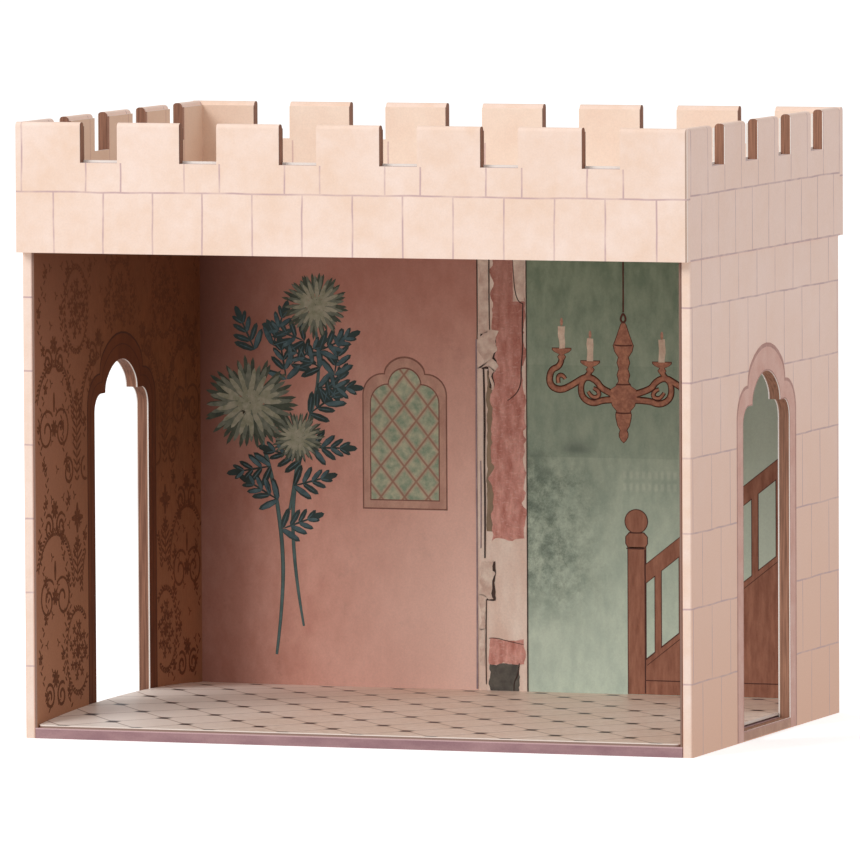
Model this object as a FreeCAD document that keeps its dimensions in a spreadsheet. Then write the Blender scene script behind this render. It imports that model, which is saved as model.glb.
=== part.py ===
"""A toy castle hall of thick wrapped board, open at the front.

Two side walls and a back wall stand round a base board. Each side wall has a
doorway with round shoulders and a raised middle lobe. Thin printed cards line
the floor and the walls. A crown stands on the walls: a deck board with four
battlement boards round it, each lined with a card.

Frame: +Z up, the open front looks along -Y, the origin is on the ground under
the middle of the hall.
"""
import FreeCAD, Part
import os
import Sketcher

doc = FreeCAD.newDocument("castle_hall")

# Driving sizes, in millimetres.
SIZES = [
    # the board and cards that everything is cut from
    ("board_thick", 4.2),
    ("lining_thick", 0.8),
    ("floor_card_thick", 1.2),
    ("board_edge_round", 0.9),
    ("card_gap", 0.1),
    # the hall, measured outside its walls
    ("hall_width", 280.0),
    ("hall_depth", 192.0),
    ("wall_height", 194.4),
    ("floor_corner_round", 3.0),
    # the doorway in each side wall
    ("door_width", 60.8),
    ("door_shoulder_height", 133.0),
    ("door_shoulder_round", 7.6),
    ("lobe_width", 36.4),
    ("lobe_rise", 12.7),
    ("lobe_side_round", 8.4),
    # the crown, and how far it stands past the hall's walls
    ("crown_height", 52.0),
    ("crown_end_reach", 5.6),
    ("crown_side_reach", 0.3),
    ("merlon_top_round", 1.7),
    # the gaps between the battlements
    ("crenel_depth", 16.0),
    ("lining_rise", 0.9),
    ("front_crenel_width", 15.8),
    ("front_crenel_pitch", 42.0),
    ("front_crenel_count", 6),
    ("side_crenel_width", 16.2),
    ("side_crenel_pitch", 42.8),
    ("side_crenel_count", 4),
    # the side rows stand this much nearer the rear than the middle
    ("side_crenel_shift", 2.4),
]

sheet = doc.addObject("Spreadsheet::Sheet", "Sizes")
for row, (name, value) in enumerate(SIZES, start=1):
    sheet.set("A%d" % row, name)
    sheet.set("B%d" % row, str(value))
    sheet.setAlias("B%d" % row, name)
doc.recompute()

size = dict(SIZES)

# Places that several pieces share, as expressions of the driving sizes.
HALL_LEFT = "(-Sizes.hall_width / 2)"
HALL_RIGHT = "(Sizes.hall_width / 2)"
HALL_FRONT = "(-Sizes.hall_depth / 2)"
HALL_REAR = "(Sizes.hall_depth / 2)"
INSIDE_RIGHT = "(Sizes.hall_width / 2 - Sizes.board_thick)"
INSIDE_LEFT = "(-Sizes.hall_width / 2 + Sizes.board_thick)"
INSIDE_REAR = "(Sizes.hall_depth / 2 - Sizes.board_thick)"
LINED_REAR = "(Sizes.hall_depth / 2 - Sizes.board_thick - Sizes.lining_thick)"
LINED_LEFT = "(-Sizes.hall_width / 2 + Sizes.board_thick + Sizes.lining_thick)"
LINED_RIGHT = "(Sizes.hall_width / 2 - Sizes.board_thick - Sizes.lining_thick)"
BASE_TOP = "Sizes.board_thick"
WALL_TOP = "Sizes.wall_height"
DECK_TOP = "(Sizes.wall_height + Sizes.board_thick)"
CROWN_TOP = "(Sizes.wall_height + Sizes.crown_height)"
CROWN_LEFT = "(-Sizes.hall_width / 2 - Sizes.crown_side_reach)"
CROWN_RIGHT = "(Sizes.hall_width / 2 + Sizes.crown_side_reach)"
CROWN_FRONT = "(-Sizes.hall_depth / 2 - Sizes.crown_end_reach)"
CROWN_REAR = "(Sizes.hall_depth / 2 + Sizes.crown_end_reach)"
CROWN_WIDTH = "(Sizes.hall_width + 2 * Sizes.crown_side_reach)"
CRENEL_FLOOR = "(Sizes.wall_height + Sizes.crown_height - Sizes.crenel_depth)"
LINING_CRENEL_FLOOR = "(" + CRENEL_FLOOR + " + Sizes.lining_rise)"
LINING_TOP = "(" + CROWN_TOP + " - Sizes.merlon_top_round)"

parts = []


def keep(piece):
    """Put a finished piece on the list of sub-parts to write."""
    parts.append(piece)
    return piece


def box(label, x_from, x_to, y_from, y_to, z_from, z_to):
    """A plain board or card between six faces, each given as an expression."""
    piece = doc.addObject("Part::Box", label)
    piece.Label = label
    piece.setExpression("Length", "(%s) - (%s)" % (x_to, x_from))
    piece.setExpression("Width", "(%s) - (%s)" % (y_to, y_from))
    piece.setExpression("Height", "(%s) - (%s)" % (z_to, z_from))
    piece.setExpression("Placement.Base.x", x_from)
    piece.setExpression("Placement.Base.y", y_from)
    piece.setExpression("Placement.Base.z", z_from)
    return keep(piece)


def new_body(label):
    body = doc.addObject("PartDesign::Body", label)
    body.Label = label
    return body


def sketch_on(body, plane, name):
    """A sketch on one of the body's own origin planes."""
    sketch = body.newObject("Sketcher::SketchObject", name)
    for feature in body.Origin.OriginFeatures:
        if feature.Role == plane:
            sketch.AttachmentSupport = [(feature, "")]
    sketch.MapMode = "FlatFace"
    return sketch


def pin_x(sketch, edge, point, expression, start):
    """Hold a point's distance across from the origin to an expression."""
    index = sketch.addConstraint(
        Sketcher.Constraint("DistanceX", -1, 1, edge, point, start))
    sketch.setExpression("Constraints[%d]" % index, expression)


def pin_y(sketch, edge, point, expression, start):
    """Hold a point's distance up from the origin to an expression."""
    index = sketch.addConstraint(
        Sketcher.Constraint("DistanceY", -1, 1, edge, point, start))
    sketch.setExpression("Constraints[%d]" % index, expression)


def radius_of(sketch, edge, expression, start):
    index = sketch.addConstraint(Sketcher.Constraint("Radius", edge, start))
    sketch.setExpression("Constraints[%d]" % index, expression)


def line(sketch, start, end):
    return sketch.addGeometry(
        Part.LineSegment(FreeCAD.Vector(start[0], start[1], 0),
                         FreeCAD.Vector(end[0], end[1], 0)), False)


def arc(sketch, start, middle, end):
    """An arc through three points; says which end of it is the start."""
    curve = Part.Arc(FreeCAD.Vector(start[0], start[1], 0),
                     FreeCAD.Vector(middle[0], middle[1], 0),
                     FreeCAD.Vector(end[0], end[1], 0))
    edge = sketch.addGeometry(curve, False)
    first = sketch.getPoint(edge, 1)
    forward = (abs(first.x - start[0]) < 1e-6 and
               abs(first.y - start[1]) < 1e-6)
    return edge, (1 if forward else 2), (2 if forward else 1)


def join(sketch, edge_a, point_a, edge_b, point_b):
    sketch.addConstraint(
        Sketcher.Constraint("Coincident", edge_a, point_a, edge_b, point_b))


def smooth(sketch, edge_a, point_a, edge_b, point_b):
    """Join two ends so that one runs into the other with no corner."""
    sketch.addConstraint(
        Sketcher.Constraint("Tangent", edge_a, point_a, edge_b, point_b))


def level(sketch, *edges):
    for edge in edges:
        sketch.addConstraint(Sketcher.Constraint("Horizontal", edge))


def upright(sketch, *edges):
    for edge in edges:
        sketch.addConstraint(Sketcher.Constraint("Vertical", edge))


def rectangle(sketch, left, right, low, high, start):
    """A rectangle whose four sides are expressions; start is a rough size."""
    x0, x1, y0, y1 = start
    bottom = line(sketch, (x0, y0), (x1, y0))
    side = line(sketch, (x1, y0), (x1, y1))
    top = line(sketch, (x1, y1), (x0, y1))
    back = line(sketch, (x0, y1), (x0, y0))
    join(sketch, bottom, 2, side, 1)
    join(sketch, side, 2, top, 1)
    join(sketch, top, 2, back, 1)
    join(sketch, back, 2, bottom, 1)
    level(sketch, bottom, top)
    upright(sketch, side, back)
    pin_x(sketch, bottom, 1, left, x0)
    pin_x(sketch, bottom, 2, right, x1)
    pin_y(sketch, bottom, 1, low, y0)
    pin_y(sketch, top, 1, high, y1)


def soft_rectangle(sketch, left, right, low, high, round_low, round_high, start):
    """A rectangle with its low pair or its high pair of corners rounded.

    round_low and round_high are (expression, value) or None.
    """
    x0, x1, y0, y1 = start
    low_r = round_low[1] if round_low else 0.0
    high_r = round_high[1] if round_high else 0.0
    bottom = line(sketch, (x0 + low_r, y0), (x1 - low_r, y0))
    side = line(sketch, (x1, y0 + low_r), (x1, y1 - high_r))
    top = line(sketch, (x1 - high_r, y1), (x0 + high_r, y1))
    back = line(sketch, (x0, y1 - high_r), (x0, y0 + low_r))
    level(sketch, bottom, top)
    upright(sketch, side, back)

    def corner(edge_in, edge_out, centre, radius, towards_x, towards_y, rounding):
        if rounding is None:
            join(sketch, edge_in, 2, edge_out, 1)
            return None
        half = radius * 0.7071
        end_in = sketch.getPoint(edge_in, 2)
        end_out = sketch.getPoint(edge_out, 1)
        middle = (centre[0] + towards_x * half, centre[1] + towards_y * half)
        edge, first, last = arc(sketch, (end_in.x, end_in.y), middle,
                                (end_out.x, end_out.y))
        smooth(sketch, edge_in, 2, edge, first)
        smooth(sketch, edge, last, edge_out, 1)
        radius_of(sketch, edge, rounding[0], radius)
        return edge

    corner(bottom, side, (x1 - low_r, y0 + low_r), low_r, 1, -1, round_low)
    corner(side, top, (x1 - high_r, y1 - high_r), high_r, 1, 1, round_high)
    corner(top, back, (x0 + high_r, y1 - high_r), high_r, -1, 1, round_high)
    corner(back, bottom, (x0 + low_r, y0 + low_r), low_r, -1, -1, round_low)
    pin_x(sketch, back, 1, left, x0)
    pin_x(sketch, side, 1, right, x1)
    pin_y(sketch, bottom, 1, low, y0)
    pin_y(sketch, top, 1, high, y1)


def pad(body, sketch, length, name, midplane=False, reverse=False):
    feature = body.newObject("PartDesign::Pad", name)
    feature.Profile = sketch
    feature.Midplane = midplane
    feature.Reversed = reverse
    feature.setExpression("Length", length)
    sketch.Visibility = False
    return feature


cuts = []


def cut_through(body, sketch, name):
    """Cut the sketch's outline right through the body, both ways."""
    feature = body.newObject("PartDesign::Pocket", name)
    feature.Profile = sketch
    feature.Type = "ThroughAll"
    feature.Midplane = True
    cuts.append((body, feature))
    return feature


def repeat(body, cut, sketch, span, count, name):
    """Repeat a cut along the sketch's own level axis."""
    feature = body.newObject("PartDesign::LinearPattern", name)
    feature.Originals = [cut]
    feature.Direction = (sketch, ["H_Axis"])
    feature.setExpression("Length", span)
    feature.setExpression("Occurrences", count)
    body.Tip = feature
    return feature


def doorway(sketch, sill, sill_start):
    """The doorway's outline, in a plane whose axes run back and up.

    Straight jambs, a round shoulder each side, a short ledge, then a lobe
    drawn as a three-centred arch.
    """
    half = size["door_width"] / 2
    ledge = size["door_shoulder_height"]
    turn = size["door_shoulder_round"]
    lobe = size["lobe_width"] / 2
    rise = size["lobe_rise"]
    small = size["lobe_side_round"]
    large = ((lobe - small) ** 2 + rise ** 2 - small ** 2) / (2 * (rise - small))
    # where the small side curve of the lobe runs into the large top curve
    reach = ((lobe - small) ** 2 + (large - rise) ** 2) ** 0.5
    meet_y = (lobe - small) * large / reach
    meet_z = ledge + rise - large + (large - rise) * large / reach
    bend = 0.7071 * turn

    sill_line = line(sketch, (-half, sill_start), (half, sill_start))
    jamb_rear = line(sketch, (half, sill_start), (half, ledge - turn))
    turn_rear, tr_in, tr_out = arc(
        sketch, (half, ledge - turn),
        (half - turn + bend, ledge - turn + bend), (half - turn, ledge))
    ledge_rear = line(sketch, (half - turn, ledge), (lobe, ledge))
    side_rear, sr_in, sr_out = arc(
        sketch, (lobe, ledge),
        (lobe - small + 0.94 * small, ledge + 0.342 * small), (meet_y, meet_z))
    top, top_in, top_out = arc(
        sketch, (meet_y, meet_z), (0, ledge + rise), (-meet_y, meet_z))
    side_front, sf_in, sf_out = arc(
        sketch, (-meet_y, meet_z),
        (-lobe + small - 0.94 * small, ledge + 0.342 * small), (-lobe, ledge))
    ledge_front = line(sketch, (-lobe, ledge), (-half + turn, ledge))
    turn_front, tf_in, tf_out = arc(
        sketch, (-half + turn, ledge),
        (-half + turn - bend, ledge - turn + bend), (-half, ledge - turn))
    jamb_front = line(sketch, (-half, ledge - turn), (-half, sill_start))

    join(sketch, sill_line, 2, jamb_rear, 1)
    join(sketch, jamb_front, 2, sill_line, 1)
    smooth(sketch, jamb_rear, 2, turn_rear, tr_in)
    smooth(sketch, turn_rear, tr_out, ledge_rear, 1)
    join(sketch, ledge_rear, 2, side_rear, sr_in)
    smooth(sketch, side_rear, sr_out, top, top_in)
    smooth(sketch, top, top_out, side_front, sf_in)
    join(sketch, side_front, sf_out, ledge_front, 1)
    smooth(sketch, ledge_front, 2, turn_front, tf_in)
    smooth(sketch, turn_front, tf_out, jamb_front, 1)
    level(sketch, sill_line, ledge_rear, ledge_front)
    upright(sketch, jamb_rear, jamb_front)
    # the lobe starts upright from its ledges
    for edge in (side_rear, side_front):
        pin_y(sketch, edge, 3, "Sizes.door_shoulder_height", ledge)
        radius_of(sketch, edge, "Sizes.lobe_side_round", small)
    for edge in (turn_rear, turn_front):
        radius_of(sketch, edge, "Sizes.door_shoulder_round", turn)
    pin_x(sketch, jamb_rear, 1, "Sizes.door_width / 2", half)
    pin_x(sketch, jamb_front, 2, "-Sizes.door_width / 2", -half)
    pin_x(sketch, ledge_rear, 2, "Sizes.lobe_width / 2", lobe)
    pin_x(sketch, ledge_front, 1, "-Sizes.lobe_width / 2", -lobe)
    pin_y(sketch, ledge_rear, 2, "Sizes.door_shoulder_height", ledge)
    pin_y(sketch, ledge_front, 1, "Sizes.door_shoulder_height", ledge)
    pin_y(sketch, sill_line, 1, sill, sill_start)
    # the top curve's middle lies on the hall's middle line, at the lobe's rise
    apex = sketch.addGeometry(
        Part.Point(FreeCAD.Vector(0, ledge + rise, 0)), True)
    sketch.addConstraint(Sketcher.Constraint("PointOnObject", apex, 1, top))
    sketch.addConstraint(Sketcher.Constraint("PointOnObject", apex, 1, -2))
    pin_y(sketch, apex, 1, "Sizes.door_shoulder_height + Sizes.lobe_rise",
          ledge + rise)


# The base board lies between the side walls and in front of the back wall.
box("base_board", INSIDE_LEFT, INSIDE_RIGHT, HALL_FRONT, INSIDE_REAR,
    "0", "Sizes.board_thick")

# The floor card lies on it, loose between the cards on the walls, with its two
# front corners rounded off.
floor_card = new_body("floor_card")
floor_outline = sketch_on(floor_card, "XY_Plane", "floor_card_outline")
soft_rectangle(
    floor_outline,
    LINED_LEFT + " + Sizes.card_gap", LINED_RIGHT + " - Sizes.card_gap",
    HALL_FRONT, LINED_REAR + " - Sizes.card_gap",
    ("Sizes.floor_corner_round", size["floor_corner_round"]), None,
    (-134.9, 134.9, -96.0, 90.8))
pad(floor_card, floor_outline, "Sizes.floor_card_thick", "floor_card_sheet")
floor_card.setExpression("Placement.Base.z", BASE_TOP)
keep(floor_card)

# The back wall stands between the side walls, flush with their rear edges.
box("wall_back", INSIDE_LEFT, INSIDE_RIGHT, INSIDE_REAR, HALL_REAR,
    "0", WALL_TOP)

# The card on the back wall stands on the base board.
box("lining_back", INSIDE_LEFT, INSIDE_RIGHT, LINED_REAR, INSIDE_REAR,
    BASE_TOP, WALL_TOP)


def side_wall(label, left, right, start):
    """A side wall: front edge rounded by its wrapping, with the doorway."""
    body = new_body(label)
    plan = sketch_on(body, "XY_Plane", label + "_plan")
    soft_rectangle(plan, left, right, HALL_FRONT, HALL_REAR,
                   ("Sizes.board_edge_round", size["board_edge_round"]), None,
                   start)
    pad(body, plan, WALL_TOP, label + "_board")
    door = sketch_on(body, "YZ_Plane", label + "_door_outline")
    doorway(door, "Sizes.board_thick", size["board_thick"])
    cut_through(body, door, label + "_door")
    return keep(body)


def side_lining(label, left, right, start):
    """The printed card on a side wall, standing on the base board."""
    body = new_body(label)
    plan = sketch_on(body, "XY_Plane", label + "_plan")
    rectangle(plan, left, right, HALL_FRONT, LINED_REAR, start)
    pad(body, plan, "%s - %s" % (WALL_TOP, BASE_TOP), label + "_card")
    plan.setExpression("AttachmentOffset.Base.z", BASE_TOP)
    door = sketch_on(body, "YZ_Plane", label + "_door_outline")
    doorway(door, BASE_TOP + " - Sizes.card_gap", size["board_thick"])
    cut_through(body, door, label + "_door")
    return keep(body)


side_wall("wall_left", HALL_LEFT, INSIDE_LEFT, (-140.0, -135.8, -96.0, 96.0))
side_wall("wall_right", INSIDE_RIGHT, HALL_RIGHT, (135.8, 140.0, -96.0, 96.0))
side_lining("lining_left", INSIDE_LEFT, INSIDE_LEFT + " + Sizes.lining_thick",
            (-135.8, -135.0, -96.0, 91.0))
side_lining("lining_right", INSIDE_RIGHT + " - Sizes.lining_thick", INSIDE_RIGHT,
            (135.0, 135.8, -96.0, 91.0))

# The deck of the crown lies level between its four battlement boards.
box("deck_board",
    CROWN_LEFT + " + Sizes.board_thick", CROWN_RIGHT + " - Sizes.board_thick",
    CROWN_FRONT + " + Sizes.board_thick", CROWN_REAR + " - Sizes.board_thick",
    WALL_TOP, DECK_TOP)


def crenels(body, label, plane, floor, width, pitch, count, shift, start):
    """A row of square gaps cut down from the top edge, about a shifted middle."""
    row = sketch_on(body, plane, label + "_crenel_outline")
    first = "(%s - %s * (%s - 1) / 2)" % (shift, pitch, count)
    middle, half, low, high = start
    rectangle(row, "%s - %s / 2" % (first, width), "%s + %s / 2" % (first, width),
              floor, CROWN_TOP + " + Sizes.board_thick",
              (middle - half, middle + half, low, high))
    cut = cut_through(body, row, label + "_crenel")
    repeat(body, cut, row, "%s * (%s - 1)" % (pitch, count), count,
           label + "_crenels")


def battlement(label, plane, near, far, low, high, length, start):
    """An upright board or card seen from its end, pushed out to its length.

    A board's top edge is rounded, as pressed board is. A card stops where the
    rounding of its board begins, and is cut square.
    """
    body = new_body(label)
    end = sketch_on(body, plane, label + "_end")
    if high == CROWN_TOP:
        rounding = ("Sizes.merlon_top_round", size["merlon_top_round"])
        soft_rectangle(end, near, far, low, high, None, rounding, start)
    else:
        rectangle(end, near, far, low, high, start)
    pad(body, end, length, label + "_sheet", midplane=True)
    return body


BETWEEN_FRONT_AND_REAR = ("(Sizes.hall_depth + 2 * Sizes.crown_end_reach"
                          " - 2 * Sizes.board_thick)")
BETWEEN_SIDES = "(" + CROWN_WIDTH + " - 2 * Sizes.board_thick)"
FRONT_ROW = ("Sizes.front_crenel_width", "Sizes.front_crenel_pitch",
             "Sizes.front_crenel_count", "0")
SIDE_ROW = ("Sizes.side_crenel_width", "Sizes.side_crenel_pitch",
            "Sizes.side_crenel_count", "Sizes.side_crenel_shift")


def cross_battlement(label, near, far, low, high, length, crenel_floor, start):
    """A battlement that runs from side to side, at the front or the rear."""
    body = battlement(label, "YZ_Plane", near, far, low, high, length, start)
    crenels(body, label, "XZ_Plane", crenel_floor, *FRONT_ROW,
            start=(-105.0, 7.9, 230.4, 250.6))
    return keep(body)


def side_battlement(label, near, far, low, high, length, crenel_floor, start):
    """A battlement that runs from front to rear, at the left or the right."""
    body = battlement(label, "XZ_Plane", near, far, low, high, length, start)
    crenels(body, label, "YZ_Plane", crenel_floor, *SIDE_ROW,
            start=(-61.8, 8.1, 230.4, 250.6))
    return keep(body)


cross_battlement("parapet_front", CROWN_FRONT, CROWN_FRONT + " + Sizes.board_thick",
                 WALL_TOP, CROWN_TOP, CROWN_WIDTH, CRENEL_FLOOR,
                 (-101.6, -97.4, 194.4, 246.4))
cross_battlement("parapet_rear", CROWN_REAR + " - Sizes.board_thick", CROWN_REAR,
                 WALL_TOP, CROWN_TOP, CROWN_WIDTH, CRENEL_FLOOR,
                 (97.4, 101.6, 194.4, 246.4))
side_battlement("parapet_left", CROWN_LEFT, CROWN_LEFT + " + Sizes.board_thick",
                WALL_TOP, CROWN_TOP, BETWEEN_FRONT_AND_REAR, CRENEL_FLOOR,
                (-140.3, -136.1, 194.4, 246.4))
side_battlement("parapet_right", CROWN_RIGHT + " - Sizes.board_thick", CROWN_RIGHT,
                WALL_TOP, CROWN_TOP, BETWEEN_FRONT_AND_REAR, CRENEL_FLOOR,
                (136.1, 140.3, 194.4, 246.4))

# The cards inside the battlements stand on the deck. The front and rear cards
# run the full inside width, and the side cards stand between them.
cross_battlement("parapet_lining_front", CROWN_FRONT + " + Sizes.board_thick",
                 CROWN_FRONT + " + Sizes.board_thick + Sizes.lining_thick",
                 DECK_TOP, LINING_TOP, BETWEEN_SIDES, LINING_CRENEL_FLOOR,
                 (-97.4, -96.6, 198.6, 244.7))
cross_battlement("parapet_lining_rear",
                 CROWN_REAR + " - Sizes.board_thick - Sizes.lining_thick",
                 CROWN_REAR + " - Sizes.board_thick",
                 DECK_TOP, LINING_TOP, BETWEEN_SIDES, LINING_CRENEL_FLOOR,
                 (96.6, 97.4, 198.6, 244.7))
LINED_LENGTH = "(" + BETWEEN_FRONT_AND_REAR + " - 2 * Sizes.lining_thick)"
side_battlement("parapet_lining_left", CROWN_LEFT + " + Sizes.board_thick",
                CROWN_LEFT + " + Sizes.board_thick + Sizes.lining_thick",
                DECK_TOP, LINING_TOP, LINED_LENGTH, LINING_CRENEL_FLOOR,
                (-136.1, -135.3, 198.6, 244.7))
side_battlement("parapet_lining_right",
                CROWN_RIGHT + " - Sizes.board_thick - Sizes.lining_thick",
                CROWN_RIGHT + " - Sizes.board_thick",
                DECK_TOP, LINING_TOP, LINED_LENGTH, LINING_CRENEL_FLOOR,
                (135.3, 136.1, 198.6, 244.7))

doc.recompute()

for item in doc.Objects:
    bad = [word for word in item.State if word in ("Invalid", "Error")]
    if bad:
        raise RuntimeError("%s is %s" % (item.Label, bad))

for body, cut in cuts:
    before = cut.BaseFeature.Shape.Volume
    after = cut.Shape.Volume
    if not after < before - 1.0:
        raise RuntimeError("%s takes nothing away from %s" % (cut.Label, body.Label))

os.makedirs("parts", exist_ok=True)
for piece in parts:
    if piece.Shape.isNull() or not piece.Shape.isValid():
        raise RuntimeError("%s has no sound shape" % piece.Label)
    if len(piece.Shape.Solids) != 1:
        raise RuntimeError("%s is not one solid" % piece.Label)
for piece in parts:
    piece.Shape.exportStep("parts/%s.step" % piece.Label)
    bounds = piece.Shape.BoundBox
    print("%-22s %9.1f mm3  x %7.2f %7.2f  y %7.2f %7.2f  z %7.2f %7.2f" % (
        piece.Label, piece.Shape.Volume, bounds.XMin, bounds.XMax,
        bounds.YMin, bounds.YMax, bounds.ZMin, bounds.ZMax))
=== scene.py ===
# %% [markdown]
# A toy castle hall of thick printed board, dressed in Blender.
# The real one is made of grey board that is wrapped in printed paper, with thin
# printed cards laid on the floor and against the walls. The boards and cards come
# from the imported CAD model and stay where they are. This lesson gives them their
# paper and their print, and adds the pieces that the print is made of as thin
# shapes, each as thick as a coat of ink.

import math
import random

import bmesh
import bpy
from mathutils import Matrix, Vector, noise


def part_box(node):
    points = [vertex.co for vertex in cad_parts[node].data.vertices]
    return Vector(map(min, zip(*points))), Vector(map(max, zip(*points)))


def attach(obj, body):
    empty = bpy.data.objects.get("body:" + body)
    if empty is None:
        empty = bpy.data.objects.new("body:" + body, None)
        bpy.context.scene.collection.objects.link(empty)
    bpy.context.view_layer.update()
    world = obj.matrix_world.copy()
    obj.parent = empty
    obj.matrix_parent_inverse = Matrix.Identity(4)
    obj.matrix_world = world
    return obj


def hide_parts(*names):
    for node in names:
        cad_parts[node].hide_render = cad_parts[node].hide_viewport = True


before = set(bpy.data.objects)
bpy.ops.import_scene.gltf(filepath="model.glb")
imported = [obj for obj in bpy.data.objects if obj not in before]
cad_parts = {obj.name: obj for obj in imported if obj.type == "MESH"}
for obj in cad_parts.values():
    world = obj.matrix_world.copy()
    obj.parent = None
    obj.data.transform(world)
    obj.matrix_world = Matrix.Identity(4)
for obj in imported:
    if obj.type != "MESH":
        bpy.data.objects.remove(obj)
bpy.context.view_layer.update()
print("the hall's boards and cards:", len(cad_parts))

# %% [markdown]
# Every size in this lesson is given in millimetres and turned to metres at the
# end, because Blender and the CAD frame work in metres. The inner faces of the
# cards are read from the frame, so that each coat of ink lies on its own card.

# %% The places that the prints lie on
MM = 0.001


def edge_of(node, corner, axis):
    """One side of a node's box, in millimetres."""
    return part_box(node)[corner][axis] / MM


CARD_LEFT = edge_of("lining_left", 1, 0)
CARD_RIGHT = edge_of("lining_right", 0, 0)
CARD_BACK = edge_of("lining_back", 0, 1)
WALL_LEFT = edge_of("wall_left", 0, 0)
WALL_RIGHT = edge_of("wall_right", 1, 0)
FLOOR_TOP = edge_of("floor_card", 1, 2)
HALL_FRONT = edge_of("wall_left", 0, 1)
WALL_TOP = edge_of("wall_left", 1, 2)
print("room inside: %.1f by %.1f mm" % (CARD_RIGHT - CARD_LEFT, CARD_BACK - HALL_FRONT))

# %% [markdown]
# A print is drawn lying down, on a flat sheet whose first axis runs across the
# wall and whose second runs up it. A matrix then stands the sheet on its wall, so
# that its third axis, the ink's thickness, points into the room or out of it.

# %% Stand a flat drawing on a wall


def standing(across, up, out, origin):
    """A matrix from the drawing's axes to the hall's, from millimetres."""
    turn = Matrix((across, up, out)).transposed().to_4x4()
    return Matrix.Scale(MM, 4) @ Matrix.Translation(origin) @ turn


ON_BACK = standing((1, 0, 0), (0, 0, 1), (0, -1, 0), (0, CARD_BACK, 0))
ON_CARD_LEFT = standing((0, 1, 0), (0, 0, 1), (1, 0, 0), (CARD_LEFT, 0, 0))
ON_CARD_RIGHT = standing((0, -1, 0), (0, 0, 1), (-1, 0, 0), (CARD_RIGHT, 0, 0))
ON_WALL_LEFT = standing((0, -1, 0), (0, 0, 1), (-1, 0, 0), (WALL_LEFT, 0, 0))
ON_WALL_RIGHT = standing((0, 1, 0), (0, 0, 1), (1, 0, 0), (WALL_RIGHT, 0, 0))

# %% [markdown]
# Two helpers serve every material. One turns the hex colours that a picture
# editor shows into the linear numbers that Blender mixes. The other adds a node,
# sets it and joins it up, so that a pattern reads from top to bottom like a
# recipe.

# %% Colours and nodes


def ink(hex_colour):
    """An sRGB hex colour as linear red, green, blue and alpha."""
    parts = [int(hex_colour[i:i + 2], 16) / 255 for i in (1, 3, 5)]
    return [c / 12.92 if c <= 0.04045 else ((c + 0.055) / 1.055) ** 2.4
            for c in parts] + [1.0]


def add(tree, kind, inputs=None, **settings):
    """Add a node, set it, and fill its inputs from values, sockets or nodes."""
    made = tree.nodes.new("ShaderNode" + kind)
    for name, value in settings.items():
        setattr(made, name, value)
    for name, value in (inputs or {}).items():
        if isinstance(value, bpy.types.Node):
            value = value.outputs[0]
        if isinstance(value, bpy.types.NodeSocket):
            tree.links.new(value, made.inputs[name])
        else:
            made.inputs[name].default_value = value
    return made


# %% [markdown]
# Paper is matt and a little uneven: its fibres catch the light in fine specks,
# and a large sheet is never quite one colour. Each paper below shares this last
# step, which takes the print's colour, adds fibre specks and a slight tooth, and
# ends in the shader. Real fibres are about 0.05 mm wide, too fine for a picture
# of the whole hall, so they are drawn about 0.8 mm apart.

# %% The paper that every print is on
FIBRE = 0.8
IOR_PAPER = 1.47


def new_sheet(name):
    """An empty material, with the place on the hall in metres."""
    material = bpy.data.materials.new(name)
    material.use_nodes = True
    tree = material.node_tree
    tree.nodes.clear()
    place = add(tree, "TexCoord").outputs["Object"]
    return material, tree, place


def on_paper(tree, place, colour, roughness=0.72, specks=0.05, tooth=0.25, coat=0.0):
    """Print a colour on paper: fibre specks, a tooth to the touch, the shader."""
    fibre = add(tree, "TexNoise", {"Vector": place, "Scale": 1 / (FIBRE * MM),
                                   "Detail": 3.0, "Roughness": 0.7})
    speck = add(tree, "MapRange", {"Value": fibre, "From Min": 0.3, "From Max": 0.7,
                                   "To Min": 1 - specks, "To Max": 1 + specks})
    printed = add(tree, "MixRGB", {"Fac": 1.0, "Color1": colour, "Color2": speck},
                  blend_type="MULTIPLY")
    relief = add(tree, "Bump", {"Height": fibre, "Strength": tooth,
                                "Distance": 0.06 * MM})
    shader = add(tree, "BsdfPrincipled", {
        "Base Color": printed, "Roughness": roughness, "IOR": IOR_PAPER,
        "Coat Weight": coat, "Coat Roughness": 0.25, "Normal": relief})
    add(tree, "OutputMaterial", {"Surface": shader})


def washed(tree, place, first, second, size, stretch=(1, 1, 1), detail=4.0):
    """Two inks that run into each other in soft patches of a given size in mm."""
    drawn_out = add(tree, "Mapping", {"Vector": place, "Scale": stretch})
    patch = add(tree, "TexNoise", {"Vector": drawn_out, "Scale": 1 / (size * MM),
                                   "Detail": detail, "Roughness": 0.6})
    even = add(tree, "MapRange", {"Value": patch, "From Min": 0.35, "From Max": 0.65})
    return add(tree, "MixRGB", {"Fac": even, "Color1": first, "Color2": second})


def laid_over(tree, amount, under, over):
    """One ink over another, by a mask."""
    return add(tree, "MixRGB", {"Fac": amount, "Color1": under, "Color2": over})


def faded(tree, along, none_at, full_at, most=1.0, least=0.0):
    """A mask that grows along an axis, from one place in mm to another."""
    return add(tree, "MapRange", {"Value": along, "From Min": none_at * MM,
                                  "From Max": full_at * MM, "To Min": least,
                                  "To Max": most})


# %% [markdown]
# The outside is printed as pale dressed stone with drawn joints of lilac ink.
# The joints follow a few plain rules: courses of even height, and joints of even
# pitch that shift by half a stone from course to course. The artist drew them by
# hand, so the place is first nudged by a soft noise, and the ink is stronger here
# and fainter there. A line is about 0.6 mm wide.

# %% Lines drawn by hand
LINE = 0.6


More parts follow.
